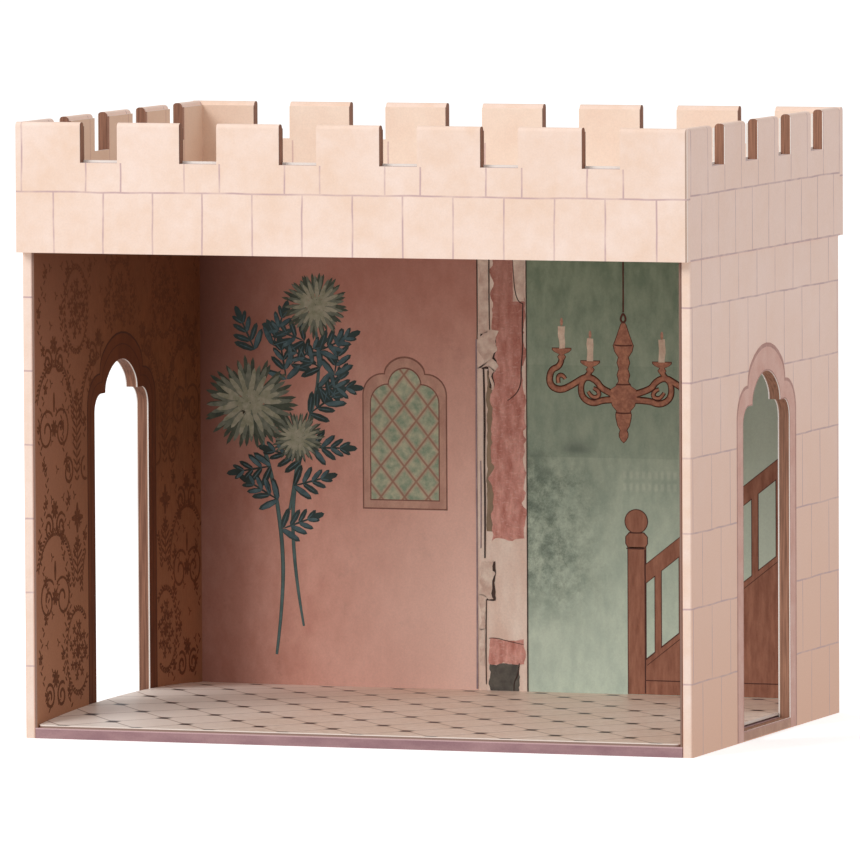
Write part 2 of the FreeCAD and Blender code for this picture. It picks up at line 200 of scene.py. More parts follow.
def nudged(tree, place, reach=0.55, size=22.0):
    """The place moved by a fraction of a millimetre, as a hand would."""
    drift = add(tree, "TexNoise", {"Vector": place, "Scale": 1 / (size * MM),
                                   "Detail": 2.0})
    centred = add(tree, "VectorMath", {0: drift.outputs["Color"], 1: (0.5, 0.5, 0.5)},
                  operation="SUBTRACT")
    small = add(tree, "VectorMath", {0: centred, "Scale": 2 * reach * MM},
                operation="SCALE")
    moved = add(tree, "VectorMath", {0: place, 1: small}, operation="ADD")
    return add(tree, "SeparateXYZ", {0: moved})


def drawn_lines(tree, along, first, pitch, width=LINE):
    """A mask of lines at every pitch mm along an axis, one of them at first."""
    mm = add(tree, "Math", {0: along, 1: 1 / MM}, operation="MULTIPLY")
    shifted = add(tree, "Math", {0: mm, 1: first}, operation="SUBTRACT")
    away = add(tree, "Math", {0: shifted, 1: pitch / 2}, operation="PINGPONG")
    return add(tree, "MapRange", {"Value": away, "From Min": width * 0.35,
                                  "From Max": width * 0.75, "To Min": 1.0,
                                  "To Max": 0.0})


def within(tree, along, low, high):
    """A mask that is 1 between two places in mm along an axis."""
    middle, half = (low + high) / 2 * MM, (high - low) / 2 * MM
    return add(tree, "Math", {0: along, 1: middle, 2: half}, operation="COMPARE")


def both(tree, first, second):
    """Where both masks are."""
    return add(tree, "Math", {0: first, 1: second}, operation="MULTIPLY")


def either(tree, first, second):
    """Where either mask is."""
    return add(tree, "Math", {0: first, 1: second}, operation="MAXIMUM")


# %% [markdown]
# Where the die cut a doorway or a gap between battlements, the bare board shows:
# grey-brown pulp, pressed in layers, with a white hairline where the wrapping
# paper was cut. A face's own normal tells a cut face from a printed one.

# %% The cut edge of the board
CUT_BOARD = "#a5735a"
CUT_BOARD_DARK = "#6a422f"
PAPER_WHITE = "#f6efe8"


def pressed_pulp(tree, place, across):
    """Bare pressed board, its layers lying in the plane across the board."""
    stretch = (5.0, 1.0, 0.12) if across == "X" else (1.0, 5.0, 0.12)
    return washed(tree, place, ink(CUT_BOARD), ink(CUT_BOARD_DARK), 2.4, stretch)


def facing(tree, axis):
    """How squarely the face looks along an axis, from 0 to 1."""
    normal = add(tree, "NewGeometry").outputs["Normal"]
    apart = add(tree, "SeparateXYZ", {0: normal})
    return add(tree, "Math", {0: apart.outputs[axis]}, operation="ABSOLUTE")


def looks_along(tree, axis, least=0.7):
    """A mask of the faces that look along an axis."""
    return add(tree, "Math", {0: facing(tree, axis), 1: least},
               operation="GREATER_THAN")


def looks_away(tree, axis, most=0.5):
    """A mask of the faces that do not look along an axis."""
    return add(tree, "Math", {0: facing(tree, axis), 1: most}, operation="LESS_THAN")


# %% [markdown]
# The stone print itself: two warm papers washed together, then the joints.
# The boards that look forward and the boards that look sideways share the
# recipe, and differ in the axis that their joints are counted along.

# %% Stone print for every outer board
STONE = "#fbe2d4"
STONE_WARM = "#f3d3bd"
STONE_LOW = "#ecbea5"
STONE_SIDE_SHADE = "#fbd8cb"
JOINT_INK = "#caa9a8"
GAP_FLOOR = 246.4 - 16.0


def stone_print(name, joint_mask, across, cut_from, edges, corner=None):
    """Printed stone on a wrapped board.

    joint_mask draws the joints; across is the axis through the board; cut_from
    tells where a cut face can be; edges are the paper hairlines, in mm; corner is
    the X of the front corner, where the paper's edge is drawn as a brown line
    with painted edge shade, and a painted highlight along the board's end.
    """
    material, tree, place = new_sheet(name)
    hand = nudged(tree, place)
    stone = washed(tree, place, ink(STONE), ink(STONE_WARM), 26.0)
    stone = laid_over(tree, 0.35, stone, washed(
        tree, place, ink(STONE), ink(STONE_WARM), 5.0))
    true_place = add(tree, "SeparateXYZ", {0: place})
    # faces that look sideways are painted a pinker tint: painted shade of the side light
    # on the same print
    stone = laid_over(tree, both(tree, facing(tree, "X"), 0.55), stone, ink(STONE_SIDE_SHADE))
    if across == "X":
        low = both(tree, faded(tree, true_place.outputs["Z"], 175, 5),
                   facing(tree, "X"))
        stone = laid_over(tree, low, stone, ink(STONE_LOW))
    if corner:
        # at the front corner: a brown line, the paper's edge darkened by painted edge
        # shade, and a painted highlight along the board's end
        fold = both(tree, facing(tree, across), within(
            tree, true_place.outputs["X"], corner - 0.75, corner - 0.1))
        stone = laid_over(tree, both(tree, fold, 0.75), stone, ink("#8d6a59"))
        painted_corner_highlight = both(tree, facing(tree, "X"), within(
            tree, true_place.outputs["Y"], -101.6, -100.8))
        stone = laid_over(tree, painted_corner_highlight, stone, ink("#fff3ea"))
    joints = joint_mask(tree, hand)
    uneven = add(tree, "TexNoise", {"Vector": place, "Scale": 1 / (9.0 * MM)})
    strength = add(tree, "MapRange", {"Value": uneven, "From Min": 0.35,
                                      "From Max": 0.6, "To Min": 0.45,
                                      "To Max": 0.95})
    stone = laid_over(tree, both(tree, joints, strength), stone, ink(JOINT_INK))
    raw = pressed_pulp(tree, place, across)
    if across == "X":
        # the bare board is painted darker on the left of the hall and paler on the right:
        # painted shade and painted light
        sideways = true_place.outputs["X"]
        raw = laid_over(tree, faded(tree, sideways, 130, -130, 0.3), raw,
                        ink(CUT_BOARD_DARK))
        raw = laid_over(tree, faded(tree, sideways, -130, 130, 0.12), raw,
                        ink("#c99b80"))
    for low, high in edges:
        hair = within(tree, true_place.outputs[across], low, high)
        raw = laid_over(tree, hair, raw, ink(PAPER_WHITE))
    # the bare board on the floor of each gap is painted pale: painted light from above
    lit_gap_floor = both(tree, looks_along(tree, "Z"), within(
        tree, true_place.outputs["Z"], GAP_FLOOR - 1, GAP_FLOOR + 1))
    raw = laid_over(tree, lit_gap_floor, raw, ink("#cdb7b2"))
    printed = laid_over(tree, cut_from(tree, true_place), stone, raw)
    on_paper(tree, place, printed, roughness=0.7, specks=0.035)
    return material


def wall_joints(along, course_at=28.9, course=29.5, stone_wide=23.6, joint_at=11.8):
    """Courses up a wall, with the joints half a stone on in every other course."""
    def mask(tree, hand):
        courses = drawn_lines(tree, hand.outputs["Z"], course_at, course)
        odd = drawn_lines(tree, hand.outputs[along], joint_at, stone_wide)
        even = drawn_lines(tree, hand.outputs[along], joint_at + stone_wide / 2,
                           stone_wide)
        height = add(tree, "Math", {0: hand.outputs["Z"], 1: 1 / MM},
                     operation="MULTIPLY")
        counted = add(tree, "Math", {0: height, 1: course_at}, operation="SUBTRACT")
        twice = add(tree, "Math", {0: counted, 1: 2 * course}, operation="FLOORED_MODULO")
        upper = add(tree, "Math", {0: twice, 1: course}, operation="GREATER_THAN")
        lower = add(tree, "Math", {0: 1.0, 1: upper}, operation="SUBTRACT")
        joints = either(tree, both(tree, odd, upper), both(tree, even, lower))
        return either(tree, courses, joints)
    return mask


def doorway_cut(tree, place):
    """Inside the doorway, any face that doesn't look sideways has been cut."""
    return both(tree, looks_away(tree, "X"), within(tree, place.outputs["Y"], -60, 60))


def never_cut(tree, place):
    """A board without a doorway or a gap."""
    return 0.0


wall_left_stone = stone_print(
    "stone print, left wall, litho paper on board", wall_joints("Y"), "X", doorway_cut,
    [(WALL_LEFT - 0.1, WALL_LEFT + 0.35)])
wall_right_stone = stone_print(
    "stone print, right wall, litho paper on board", wall_joints("Y"), "X", doorway_cut,
    [(WALL_RIGHT - 0.35, WALL_RIGHT + 0.1)])
wall_back_stone = stone_print(
    "stone print, back wall, litho paper on board", wall_joints("X"), "Y", never_cut, [])
print("wall courses every 29.5 mm, stones 23.6 mm wide")

# %% [markdown]
# On the crown the joints follow the gaps: in the upper course a joint drops from
# each side of a gap at the front, and from the rear side of a gap at the sides.
# In the lower course all the joints stand about 21 mm apart.

# %% Stone print for the crown


def front_crown_joints(tree, hand):
    """The front and rear battlements' joints."""
    course = both(tree, drawn_lines(tree, hand.outputs["Z"], 218.8, 60.0),
                  within(tree, hand.outputs["Z"], 205, 240))
    lower = both(tree, drawn_lines(tree, hand.outputs["X"], 1.8, 21.0),
                 within(tree, hand.outputs["Z"], 190, 218.8))
    beside = either(tree, drawn_lines(tree, hand.outputs["X"], 21.0 + 9.2, 42.0),
                    drawn_lines(tree, hand.outputs["X"], 21.0 - 5.6, 42.0))
    tall = both(tree, within(tree, hand.outputs["X"], -150, -130),
                within(tree, hand.outputs["Z"], 218.8, 250))
    upper = both(tree, beside, either(tree, tall, within(
        tree, hand.outputs["Z"], 218.8, GAP_FLOOR)))
    return either(tree, course, either(tree, lower, upper))


def side_crown_joints(tree, hand):
    """The side battlements' joints, and the shadow line at their foot."""
    course = both(tree, drawn_lines(tree, hand.outputs["Z"], 220.0, 60.0),
                  within(tree, hand.outputs["Z"], 205, 240))
    lower = both(tree, drawn_lines(tree, hand.outputs["Y"], 2.9, 21.5),
                 within(tree, hand.outputs["Z"], 190, 220))
    upper = both(tree, drawn_lines(tree, hand.outputs["Y"], 10.8, 21.5),
                 within(tree, hand.outputs["Z"], 220, 246))
    under = both(tree, within(tree, hand.outputs["Z"], 190, 195.1), facing(tree, "X"))
    return either(tree, either(tree, course, under), either(tree, lower, upper))


def gap_cut(axis, reach):
    """The sides and the floors of the gaps, but not the board's own ends."""
    def mask(tree, place):
        inner = both(tree, looks_along(tree, axis),
                     within(tree, place.outputs[axis], -reach, reach))
        floor = both(tree, looks_along(tree, "Z"),
                     within(tree, place.outputs["Z"], 220, 240))
        return either(tree, inner, floor)
    return mask


crown_front = edge_of("parapet_front", 0, 1)
crown_rear = edge_of("parapet_rear", 1, 1)
crown_left = edge_of("parapet_left", 0, 0)
crown_right = edge_of("parapet_right", 1, 0)
hair = 0.3
crown_front_stone = stone_print(
    "stone print, front battlements, litho paper on board", front_crown_joints, "Y",
    gap_cut("X", 138), [(crown_front - 0.1, crown_front + hair)],
    edge_of("parapet_front", 1, 0))
crown_rear_stone = stone_print(
    "stone print, rear battlements, litho paper on board", front_crown_joints, "Y",
    gap_cut("X", 138), [(crown_rear - hair, crown_rear + 0.1)])
crown_left_stone = stone_print(
    "stone print, left battlements, litho paper on board", side_crown_joints, "X",
    gap_cut("Y", 94), [(crown_left - 0.1, crown_left + hair)])
crown_right_stone = stone_print(
    "stone print, right battlements, litho paper on board", side_crown_joints, "X",
    gap_cut("Y", 94), [(crown_right - hair, crown_right + 0.1)])

# %% [markdown]
# The deck is paved in the same print, and the cards inside the battlements carry
# it too. Towards the left their print is painted darker and warmer: painted shade
# with the warm light of the other cards. A card's raw edge is white; where it
# does not face up and lies away from the right-hand battlements it is painted
# brown, painted shade.

# %% Deck and inner cards of the crown


def lining_print(name, across, joint_mask):
    """The stone print on thin card with a white raw edge."""
    material, tree, place = new_sheet(name)
    hand = nudged(tree, place)
    stone = washed(tree, place, ink("#f7e4d4"), ink("#f2dac8"), 24.0)
    stone = laid_over(tree, both(tree, joint_mask(tree, hand), 0.7), stone,
                      ink(JOINT_INK))
    raw = looks_away(tree, across)
    normal = add(tree, "SeparateXYZ", {0: add(tree, "NewGeometry").outputs["Normal"]})
    true_place = add(tree, "SeparateXYZ", {0: place})
    # where the face looks the same way as it lies from the middle, it looks out
    outward = add(tree, "Math", {0: both(tree, normal.outputs[across],
                                         true_place.outputs[across]), 1: 0.001},
                  operation="GREATER_THAN")
    if across != "Z":
        raw = either(tree, raw, outward)
    # darker and warmer towards the left: painted shade and bounce light from the other
    # cards
    shaded = faded(tree, true_place.outputs["X"], -92, -134, 0.36)
    stone = laid_over(tree, shaded, stone, ink("#c8956f"))
    # the white card edge is painted brown where it does not face up and lies away from
    # the right-hand battlements: painted shade
    level = facing(tree, "Z")
    right_side = within(tree, true_place.outputs["X"], 130, 140)
    edge = laid_over(tree, either(tree, level, right_side), ink("#8a6350"),
                     ink(PAPER_WHITE))
    edge = laid_over(tree, outward, edge, ink(PAPER_WHITE)) if across != "Z" else edge
    printed = laid_over(tree, raw, stone, edge)
    on_paper(tree, place, printed, roughness=0.7, specks=0.04)
    return material


def paving(tree, hand):
    """Square paving, as on a roof."""
    rows = drawn_lines(tree, hand.outputs["Y"], 0.0, 27.0)
    return either(tree, rows, drawn_lines(tree, hand.outputs["X"], 0.0, 42.0))


deck_paving = lining_print("stone print, deck, litho paper on board", "Z", paving)
crown_card_cross = lining_print("stone print, crown card across, litho card", "Y",
                                front_crown_joints)
crown_card_side = lining_print("stone print, crown card side, litho card", "X",
                               side_crown_joints)

# %% [markdown]
# The base board is wrapped in plum paper, with a paler band along its top edge.

# %% Plum paper
material, tree, place = new_sheet("plum paper, wrapped on board")
plum = washed(tree, place, ink("#a98384"), ink("#936d72"), 7.0, (0.35, 1, 1))
where = add(tree, "SeparateXYZ", {0: place})
plum = laid_over(tree, within(tree, where.outputs["Z"], 3.7, 4.3), plum,
                 ink("#c9a4a4"))
on_paper(tree, place, plum, roughness=0.65, specks=0.08)
plum_paper = material

# %% [markdown]
# The room's back card is printed as old pink plaster: large soft clouds, small
# stains, and faint upright brush marks. It is painted darker towards the top and
# into the left corner, painted shade under the deck and beside the left wall, and
# paler low towards the crack, painted light where the lamp reaches.

# %% Pink plaster on the back card
material, tree, place = new_sheet("pink plaster print, litho card")
where = add(tree, "SeparateXYZ", {0: place})
plaster = washed(tree, place, ink("#e6ad9c"), ink("#d69684"), 38.0)
wiped = washed(tree, place, ink("#efb8a8"), ink("#c48270"), 5.0, (1, 1, 0.5), 7.0)
plaster = laid_over(tree, 0.26, plaster, wiped)
stain = add(tree, "TexNoise", {"Vector": place, "Scale": 1 / (14 * MM),
                               "Detail": 8.0, "Roughness": 0.75})
stained = add(tree, "MapRange", {"Value": stain, "From Min": 0.56, "From Max": 0.72,
                                 "To Max": 0.4})
plaster = laid_over(tree, stained, plaster, ink("#a86e60"))
# darker towards the top: painted shade under the deck
plaster = laid_over(tree, faded(tree, where.outputs["Z"], 95, 200, 0.62), plaster,
                    ink("#9a6253"))
# darker into the left corner: painted shade beside the left wall
corner_shade = both(tree, faded(tree, where.outputs["X"], -88, -137),
                    faded(tree, where.outputs["Z"], 10, 150, 1.0, 0.5))
plaster = laid_over(tree, corner_shade, plaster, ink("#60301e"))
# paler low towards the crack: painted light where the lamp reaches
painted_light_low_right = both(tree, faded(tree, where.outputs["X"], -95, -20),
                     faded(tree, where.outputs["Z"], 170, 40))
plaster = laid_over(tree, both(tree, painted_light_low_right, 0.82), plaster, ink("#ffdacb"))
on_paper(tree, place, laid_over(tree, looks_away(tree, "Y"), plaster,
                                ink(PAPER_WHITE)), specks=0.05)
pink_plaster = material

# %% [markdown]
# The side cards are printed as a damask: a brown ground, and the pattern in a
# darker brown that is laid on later as thin shapes. The ground is painted paler at
# the front and low down and darker above: painted light and shade. The front edge
# of the card is painted grey, painted shade, and its edge in the doorway is still white.

# %% Damask ground on the side cards


def damask_ground(name):
    """The brown ground: painted light at the front and low down, painted shade above."""
    material, tree, place = new_sheet(name)
    where = add(tree, "SeparateXYZ", {0: place})
    ground = washed(tree, place, ink("#804922"), ink("#6f3e1a"), 30.0)
    woven = washed(tree, place, ink("#93603d"), ink("#5f3418"), 1.6, (1, 1, 0.4))
    ground = laid_over(tree, 0.35, ground, woven)
    # painted light at the front and near the floor, painted shade above
    for axis, none_at, full_at, most, colour in (
            ("Y", 0, -96, 0.85, "#ab755b"), ("Z", 120, 5, 0.55, "#bd8664"),
            ("Z", 135, 195, 0.75, "#6f3d22")):
        ground = laid_over(tree, faded(tree, where.outputs[axis], none_at, full_at,
                                       most), ground, ink(colour))
    # the raw front edge is painted grey: painted shade
    front_edge_shade = within(tree, where.outputs["Y"], HALL_FRONT - 1, HALL_FRONT + 0.5)
    far = add(tree, "Math", {0: where.outputs["X"]}, operation="ABSOLUTE")
    edge = laid_over(tree, within(tree, far, CARD_RIGHT - 0.1, CARD_RIGHT + 0.45),
                     ink("#a98672"), ink(PAPER_WHITE))
    edge = laid_over(tree, front_edge_shade, edge, ink("#8a6a5c"))
    on_paper(tree, place, laid_over(tree, looks_away(tree, "X"), ground, edge),
             specks=0.09)
    return material


damask_brown = damask_ground("damask ground, litho card")

# %% [markdown]
# The floor card is printed with octagon tiles and small dark squares between
# them, under a satin varnish, so it mirrors the walls softly at a low angle.
# The dots stand 31 mm apart across the room and 33 mm apart along it, and a second
# set of them lies half way between. A thin joint runs from the corner of one dot to
# the corner of the next, so the place is first squeezed to a square lattice.

# %% Octagon tiles
TILE = 31.1
TILE_DEEP = 33.0
DOT = 4.4
material, tree, place = new_sheet("octagon tile print, satin varnished card")
squeezed = add(tree, "Mapping", {"Vector": place, "Scale": (1, TILE / TILE_DEEP, 1)})
hand = nudged(tree, squeezed, 0.25, 30.0)


def tile_dot(across_at, along_at):
    """One square lattice of dots."""
    return both(tree, drawn_lines(tree, hand.outputs["X"], across_at, TILE, DOT),
                drawn_lines(tree, hand.outputs["Y"], along_at, TILE, DOT))


# turned lines: x + y and x - y count along the two diagonals
DOT_X, DOT_Y = -77.7, -80.0 * TILE / TILE_DEEP
total = add(tree, "Math", {0: hand.outputs["X"], 1: hand.outputs["Y"]},
            operation="ADD")
apart = add(tree, "Math", {0: hand.outputs["X"], 1: hand.outputs["Y"]},
            operation="SUBTRACT")
joints = either(tree, drawn_lines(tree, total, DOT_X + DOT_Y, TILE, 0.85),
                drawn_lines(tree, apart, DOT_X - DOT_Y, TILE, 0.85))
dots = either(tree, tile_dot(DOT_X, DOT_Y), tile_dot(DOT_X + TILE / 2, DOT_Y + TILE / 2))
tiles = washed(tree, place, ink("#f5dfd0"), ink("#ebd1be"), 21.0)
tiles = laid_over(tree, 0.35, tiles, washed(tree, place, ink("#fbe8da"),
                                            ink("#d6b7a2"), 3.0))
where = add(tree, "SeparateXYZ", {0: place})
# paler towards the left wall: a painted sheen, the reflection of the bright doorway
tiles = laid_over(tree, faded(tree, where.outputs["X"], -40, -110), tiles,
                  ink("#fff2e8"))
tiles = laid_over(tree, both(tree, joints, 0.75), tiles, ink("#8a6250"))
tiles = laid_over(tree, dots, tiles, ink("#2e120a"))
# the card's edge: pale along its top and painted darker below, a painted shade line under
# the edge
card_edge_and_shade = laid_over(tree, within(tree, where.outputs["Z"], 5.0, 9.0), ink("#8f6f62"),
                     ink("#efdfd3"))
tiles = laid_over(tree, looks_away(tree, "Z", 0.4), tiles, card_edge_and_shade)
on_paper(tree, place, tiles, roughness=0.5, specks=0.03, tooth=0.1, coat=0.15)
tile_card = material

# %% [markdown]
# Each board and card of the hall now gets its paper. The shapes come from the CAD
# model as they are, and a paper is only laid in the place that a material has.

# %% Hand each board and card its paper
PAPERS = {
    "wall_left": wall_left_stone, "wall_right": wall_right_stone,
    "wall_back": wall_back_stone, "parapet_front": crown_front_stone,
    "parapet_rear": crown_rear_stone, "parapet_left": crown_left_stone,
    "parapet_right": crown_right_stone, "deck_board": deck_paving,
    "parapet_lining_front": crown_card_cross, "parapet_lining_rear": crown_card_cross,
    "parapet_lining_left": crown_card_side, "parapet_lining_right": crown_card_side,
    "base_board": plum_paper, "floor_card": tile_card, "lining_back": pink_plaster,
    "lining_left": damask_brown, "lining_right": damask_brown,
}
for name, paper in PAPERS.items():
    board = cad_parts[name]
    for place_for_paper in board.material_slots:
        place_for_paper.material = paper
    if not board.material_slots:
        board.data.materials.append(paper)
print("papers handed out:", len(PAPERS))

# %% [markdown]
# The prints' own pieces are drawn with a pen that starts from one vertex. It
# goes straight to a point, or turns about a centre with the spin tool, and each
# move leaves edges behind. Half a shape is drawn and mirrored, as a paper cutter
# folds the sheet first.

# %% A pen that draws outlines


def pen(bm, start, *moves):
    """Draw from start. A move is a point (x, y), or a turn (x, y, degrees)."""
    tip = bm.verts.new((start[0], start[1], 0.0))
    made = [tip]
    for move in moves:
        if len(move) == 2:
            ahead = bmesh.ops.extrude_vert_indiv(bm, verts=[tip])["verts"][0]
            ahead.co = (move[0], move[1], 0.0)
            tip = ahead
            made.append(tip)
            continue
        steps = max(3, round(abs(move[2]) / 10))
        before = set(bm.verts)
        turned = bmesh.ops.spin(
            bm, geom=[tip], cent=(move[0], move[1], 0.0), axis=(0, 0, 1),
            angle=math.radians(move[2]), steps=steps, use_duplicate=False)
        tip = [v for v in turned["geom_last"] if isinstance(v, bmesh.types.BMVert)][0]
        made.extend(v for v in bm.verts if v not in before)
    return made


def fold_over(bm):
    """Mirror the half that the pen drew, about the upright line through x = 0."""
    bmesh.ops.mirror(bm, geom=bm.verts[:] + bm.edges[:], matrix=Matrix.Identity(4),
                     merge_dist=0.01, axis="X")
    bmesh.ops.remove_doubles(bm, verts=bm.verts[:], dist=0.01)


def print_on(bm, name, paper, where, lift, thick=0.05):
    """Give flat shapes the thickness of ink, stand them on a wall, make them a piece of
    the hall.
    """
    bmesh.ops.recalc_face_normals(bm, faces=bm.faces[:])
    for face in bm.faces:
        if face.normal.z < 0:
            face.normal_flip()
    pushed = bmesh.ops.extrude_face_region(
        bm, geom=bm.faces[:], use_keep_orig=True)["geom"]
    tops = [v for v in pushed if isinstance(v, bmesh.types.BMVert)]
    bmesh.ops.translate(bm, vec=(0, 0, thick), verts=tops)
    bmesh.ops.translate(bm, vec=(0, 0, lift), verts=bm.verts[:])
    bmesh.ops.recalc_face_normals(bm, faces=bm.faces[:])
    bmesh.ops.transform(bm, matrix=where, verts=bm.verts[:])
    mesh = bpy.data.meshes.new(name)
    bm.to_mesh(mesh)
    bm.free()
    return hand_in(mesh, name, paper)


def hand_in(mesh, name, paper):
    """Make the mesh a piece of the hall, with its paper and its place in the record."""
    piece = bpy.data.objects.new(name, mesh)
    bpy.context.scene.collection.objects.link(piece)
    mesh.materials.append(paper)
    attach(piece, "root")
    print("%-26s %6d faces" % (name, len(mesh.polygons)))
    return piece


def printed_ink(name, first, second, size, stretch=(1, 1, 1), roughness=0.72):
    """A patchy ink printed on paper."""
    material, tree, place = new_sheet(name)
    on_paper(tree, place, washed(tree, place, ink(first), ink(second), size, stretch),
             roughness=roughness, specks=0.06)
    return material


# %% [markdown]
# Round each doorway a stone frame is printed: dusty pink outside, dark wood
# inside. Its outline is the doorway's own, let out by about 8 mm. The pen draws half
# of it from the foot: up the jamb, round the shoulder, along the ledge, and up
# the two curves of the lobe. Between two such outlines lies a band.

# %% Door frames
DOOR_HALF, DOOR_SHOULDER, DOOR_TURN = 30.4, 133.0, 7.6
LOBE_HALF, LOBE_RISE, LOBE_SIDE = 18.2, 12.7, 8.4
FRAME_WIDE = 8.3


def arch_half(bm, half, foot, shoulder, turn, lobe, rise, side):
    """Half of a shouldered arch, from its foot to its top."""
    large = ((lobe - side) ** 2 + rise ** 2 - side ** 2) / (2 * (rise - side))
    low_turn = math.degrees(math.atan2(large - rise, lobe - side))
    pen(bm, (half, foot), (half, shoulder - turn),
        (half - turn, shoulder - turn, 90), (lobe, shoulder),
        (lobe - side, shoulder, low_turn),
        (0, shoulder + rise - large, 90 - low_turn))


def arch_let_out(grow, foot):
    """The doorway's outline let out by some millimetres."""
    return (DOOR_HALF + grow, foot, DOOR_SHOULDER + grow, DOOR_TURN + grow * 0.7,
            LOBE_HALF + grow * 0.75, LOBE_RISE + grow * 0.35, LOBE_SIDE + grow * 0.3)


def band_between(low, high, foot):
    """The flat band between two outlines of the doorway, let out by low and high."""
    inner, outer = arch_let_out(low, foot), arch_let_out(high, foot)
    bm = bmesh.new()
    arch_half(bm, *inner)
    arch_half(bm, *outer)
    inner_foot = [v for v in bm.verts if abs(v.co.y - foot) < 1e-6]
    bm.edges.new(inner_foot)
    fold_over(bm)
    bmesh.ops.triangle_fill(bm, use_beauty=True, use_dissolve=False,
                            edges=bm.edges[:])
    return bm


def strip_across(wide, high, middle):
    """A flat strip across the doorway, its middle at some height."""
    bm = bmesh.new()
    lies = Matrix.Translation((0, middle, 0)) @ Matrix.Diagonal((wide, high, 1, 1))
    bmesh.ops.create_grid(bm, x_segments=1, y_segments=1, size=0.5, matrix=lies)
    return bm


frame_pink = printed_ink("dusty pink frame print, litho paper", "#dfb4a6", "#d5a394",
                         9.0)
frame_mauve = printed_ink("mauve line print, litho paper", "#c3968b", "#b28479", 5.0)
sill_plum = printed_ink("plum sill print, litho paper", "#c59a83", "#b48874", 8.0)
frame_wood = printed_ink("dark wood frame print, litho card", "#6e391a", "#5c2c10",
                         8.0, (1, 1, 0.3))
frame_wood_line = printed_ink("darkest line print, litho card", "#3f1d0d", "#472210",
                              5.0)
for side, where in (("left", ON_WALL_LEFT), ("right", ON_WALL_RIGHT)):
    print_on(band_between(0.05, FRAME_WIDE, 0.3), "door_frame_" + side, frame_pink,
             where, 0.0)
    for count, (low, high) in enumerate(((7.1, FRAME_WIDE), (0.06, 0.5))):
        print_on(band_between(low, high, 0.3), "door_frame_%s_line_%d" % (side, count),
                 frame_mauve, where, 0.05, 0.03)
    print_on(strip_across(60.7, 3.6, 2.2), "door_sill_" + side, sill_plum,
             where, 0.0)
    print_on(strip_across(60.0, 0.5, 3.9), "door_sill_line_" + side, frame_mauve,
             where, 0.05, 0.03)
for side, where in (("left", ON_CARD_LEFT), ("right", ON_CARD_RIGHT)):
    print_on(band_between(0.05, FRAME_WIDE, FLOOR_TOP), "door_surround_" + side,
             frame_wood, where, 0.0)
    for count, (low, high) in enumerate(((7.7, FRAME_WIDE), (4.4, 4.7))):
        print_on(band_between(low, high, FLOOR_TOP),
                 "door_surround_%s_line_%d" % (side, count), frame_wood_line,
                 where, 0.05, 0.03)

# %% [markdown]
# The floor card is loose in the hall and has curled a little, as varnished card
# does: it rises by about 3 mm half way along the left wall and by 1 mm at the
# right. The CAD card is flat, so a copy of it is merged, cut into strips both
# ways with the bisect tool, and lifted by a smooth rule. It stands for the card.

# %% Curled floor card


def curl(x, y):
    """How far the card rises, in mm, at a place in mm."""
    along = max(0.0, 1 - (y / 95.0) ** 2)
    return along * (0.8 + 2.6 * math.exp(-(x + 135.0) / 34.0))


bm = bmesh.new()
bm.from_mesh(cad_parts["floor_card"].data)
bmesh.ops.remove_doubles(bm, verts=bm.verts[:], dist=0.001 * MM)
for axis, reach in ((0, 135), (1, 96)):
    for step in range(-reach + 9, reach, 9):
        across = Vector((1, 0, 0)) if axis == 0 else Vector((0, 1, 0))
        bmesh.ops.bisect_plane(bm, geom=bm.verts[:] + bm.edges[:] + bm.faces[:],
                               plane_co=across * step * MM, plane_no=across)
for corner in bm.verts:
    corner.co.z += curl(corner.co.x / MM, corner.co.y / MM) * MM
bmesh.ops.recalc_face_normals(bm, faces=bm.faces[:])
mesh = bpy.data.meshes.new("curled_floor_card")
bm.to_mesh(mesh)
bm.free()
curled = hand_in(mesh, "curled_floor_card", tile_card)
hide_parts("floor_card")
print("the card rises by %.1f mm at the left" % curl(-135, 0))

# %% [markdown]
# Torn paper and brush strokes are the other two ways to draw here. A torn sheet
# is a grid face whose edges are cut into short lengths and pulled about by a
# seeded random number, so that it tears the same way each time. A stroke is a
# smooth curve with a round brush, pressed flat once it has become a mesh.

# %% Torn sheets and brush strokes
random.seed(7)
noise.seed_set(7)


def torn_sheet(bm, left, right, low, high, rag=0.0, step=1.3):
    """A rectangle of paper, its edges torn by up to rag mm."""
    place_it = Matrix.Translation(((left + right) / 2, (low + high) / 2, 0)) @ \
        Matrix.Diagonal((right - left, high - low, 1, 1))
    made = bmesh.ops.create_grid(bm, x_segments=1, y_segments=1, size=0.5,
                                 matrix=place_it)["verts"]
    if rag:
        sides = [edge for edge in bm.edges if edge.verts[0] in made]
        before = set(bm.verts) - set(made)
        for edge in sides:
            cuts = max(1, int(edge.calc_length() / step))
            bmesh.ops.bisect_edges(bm, edges=[edge], cuts=cuts)
        for corner in bm.verts:
            if corner not in before:
                slow = noise.noise_vector(corner.co / 4.5) * rag * 1.6
                corner.co.x += slow.x + random.uniform(-rag, rag) * 0.3
                corner.co.y += slow.y + random.uniform(-rag, rag) * 0.3


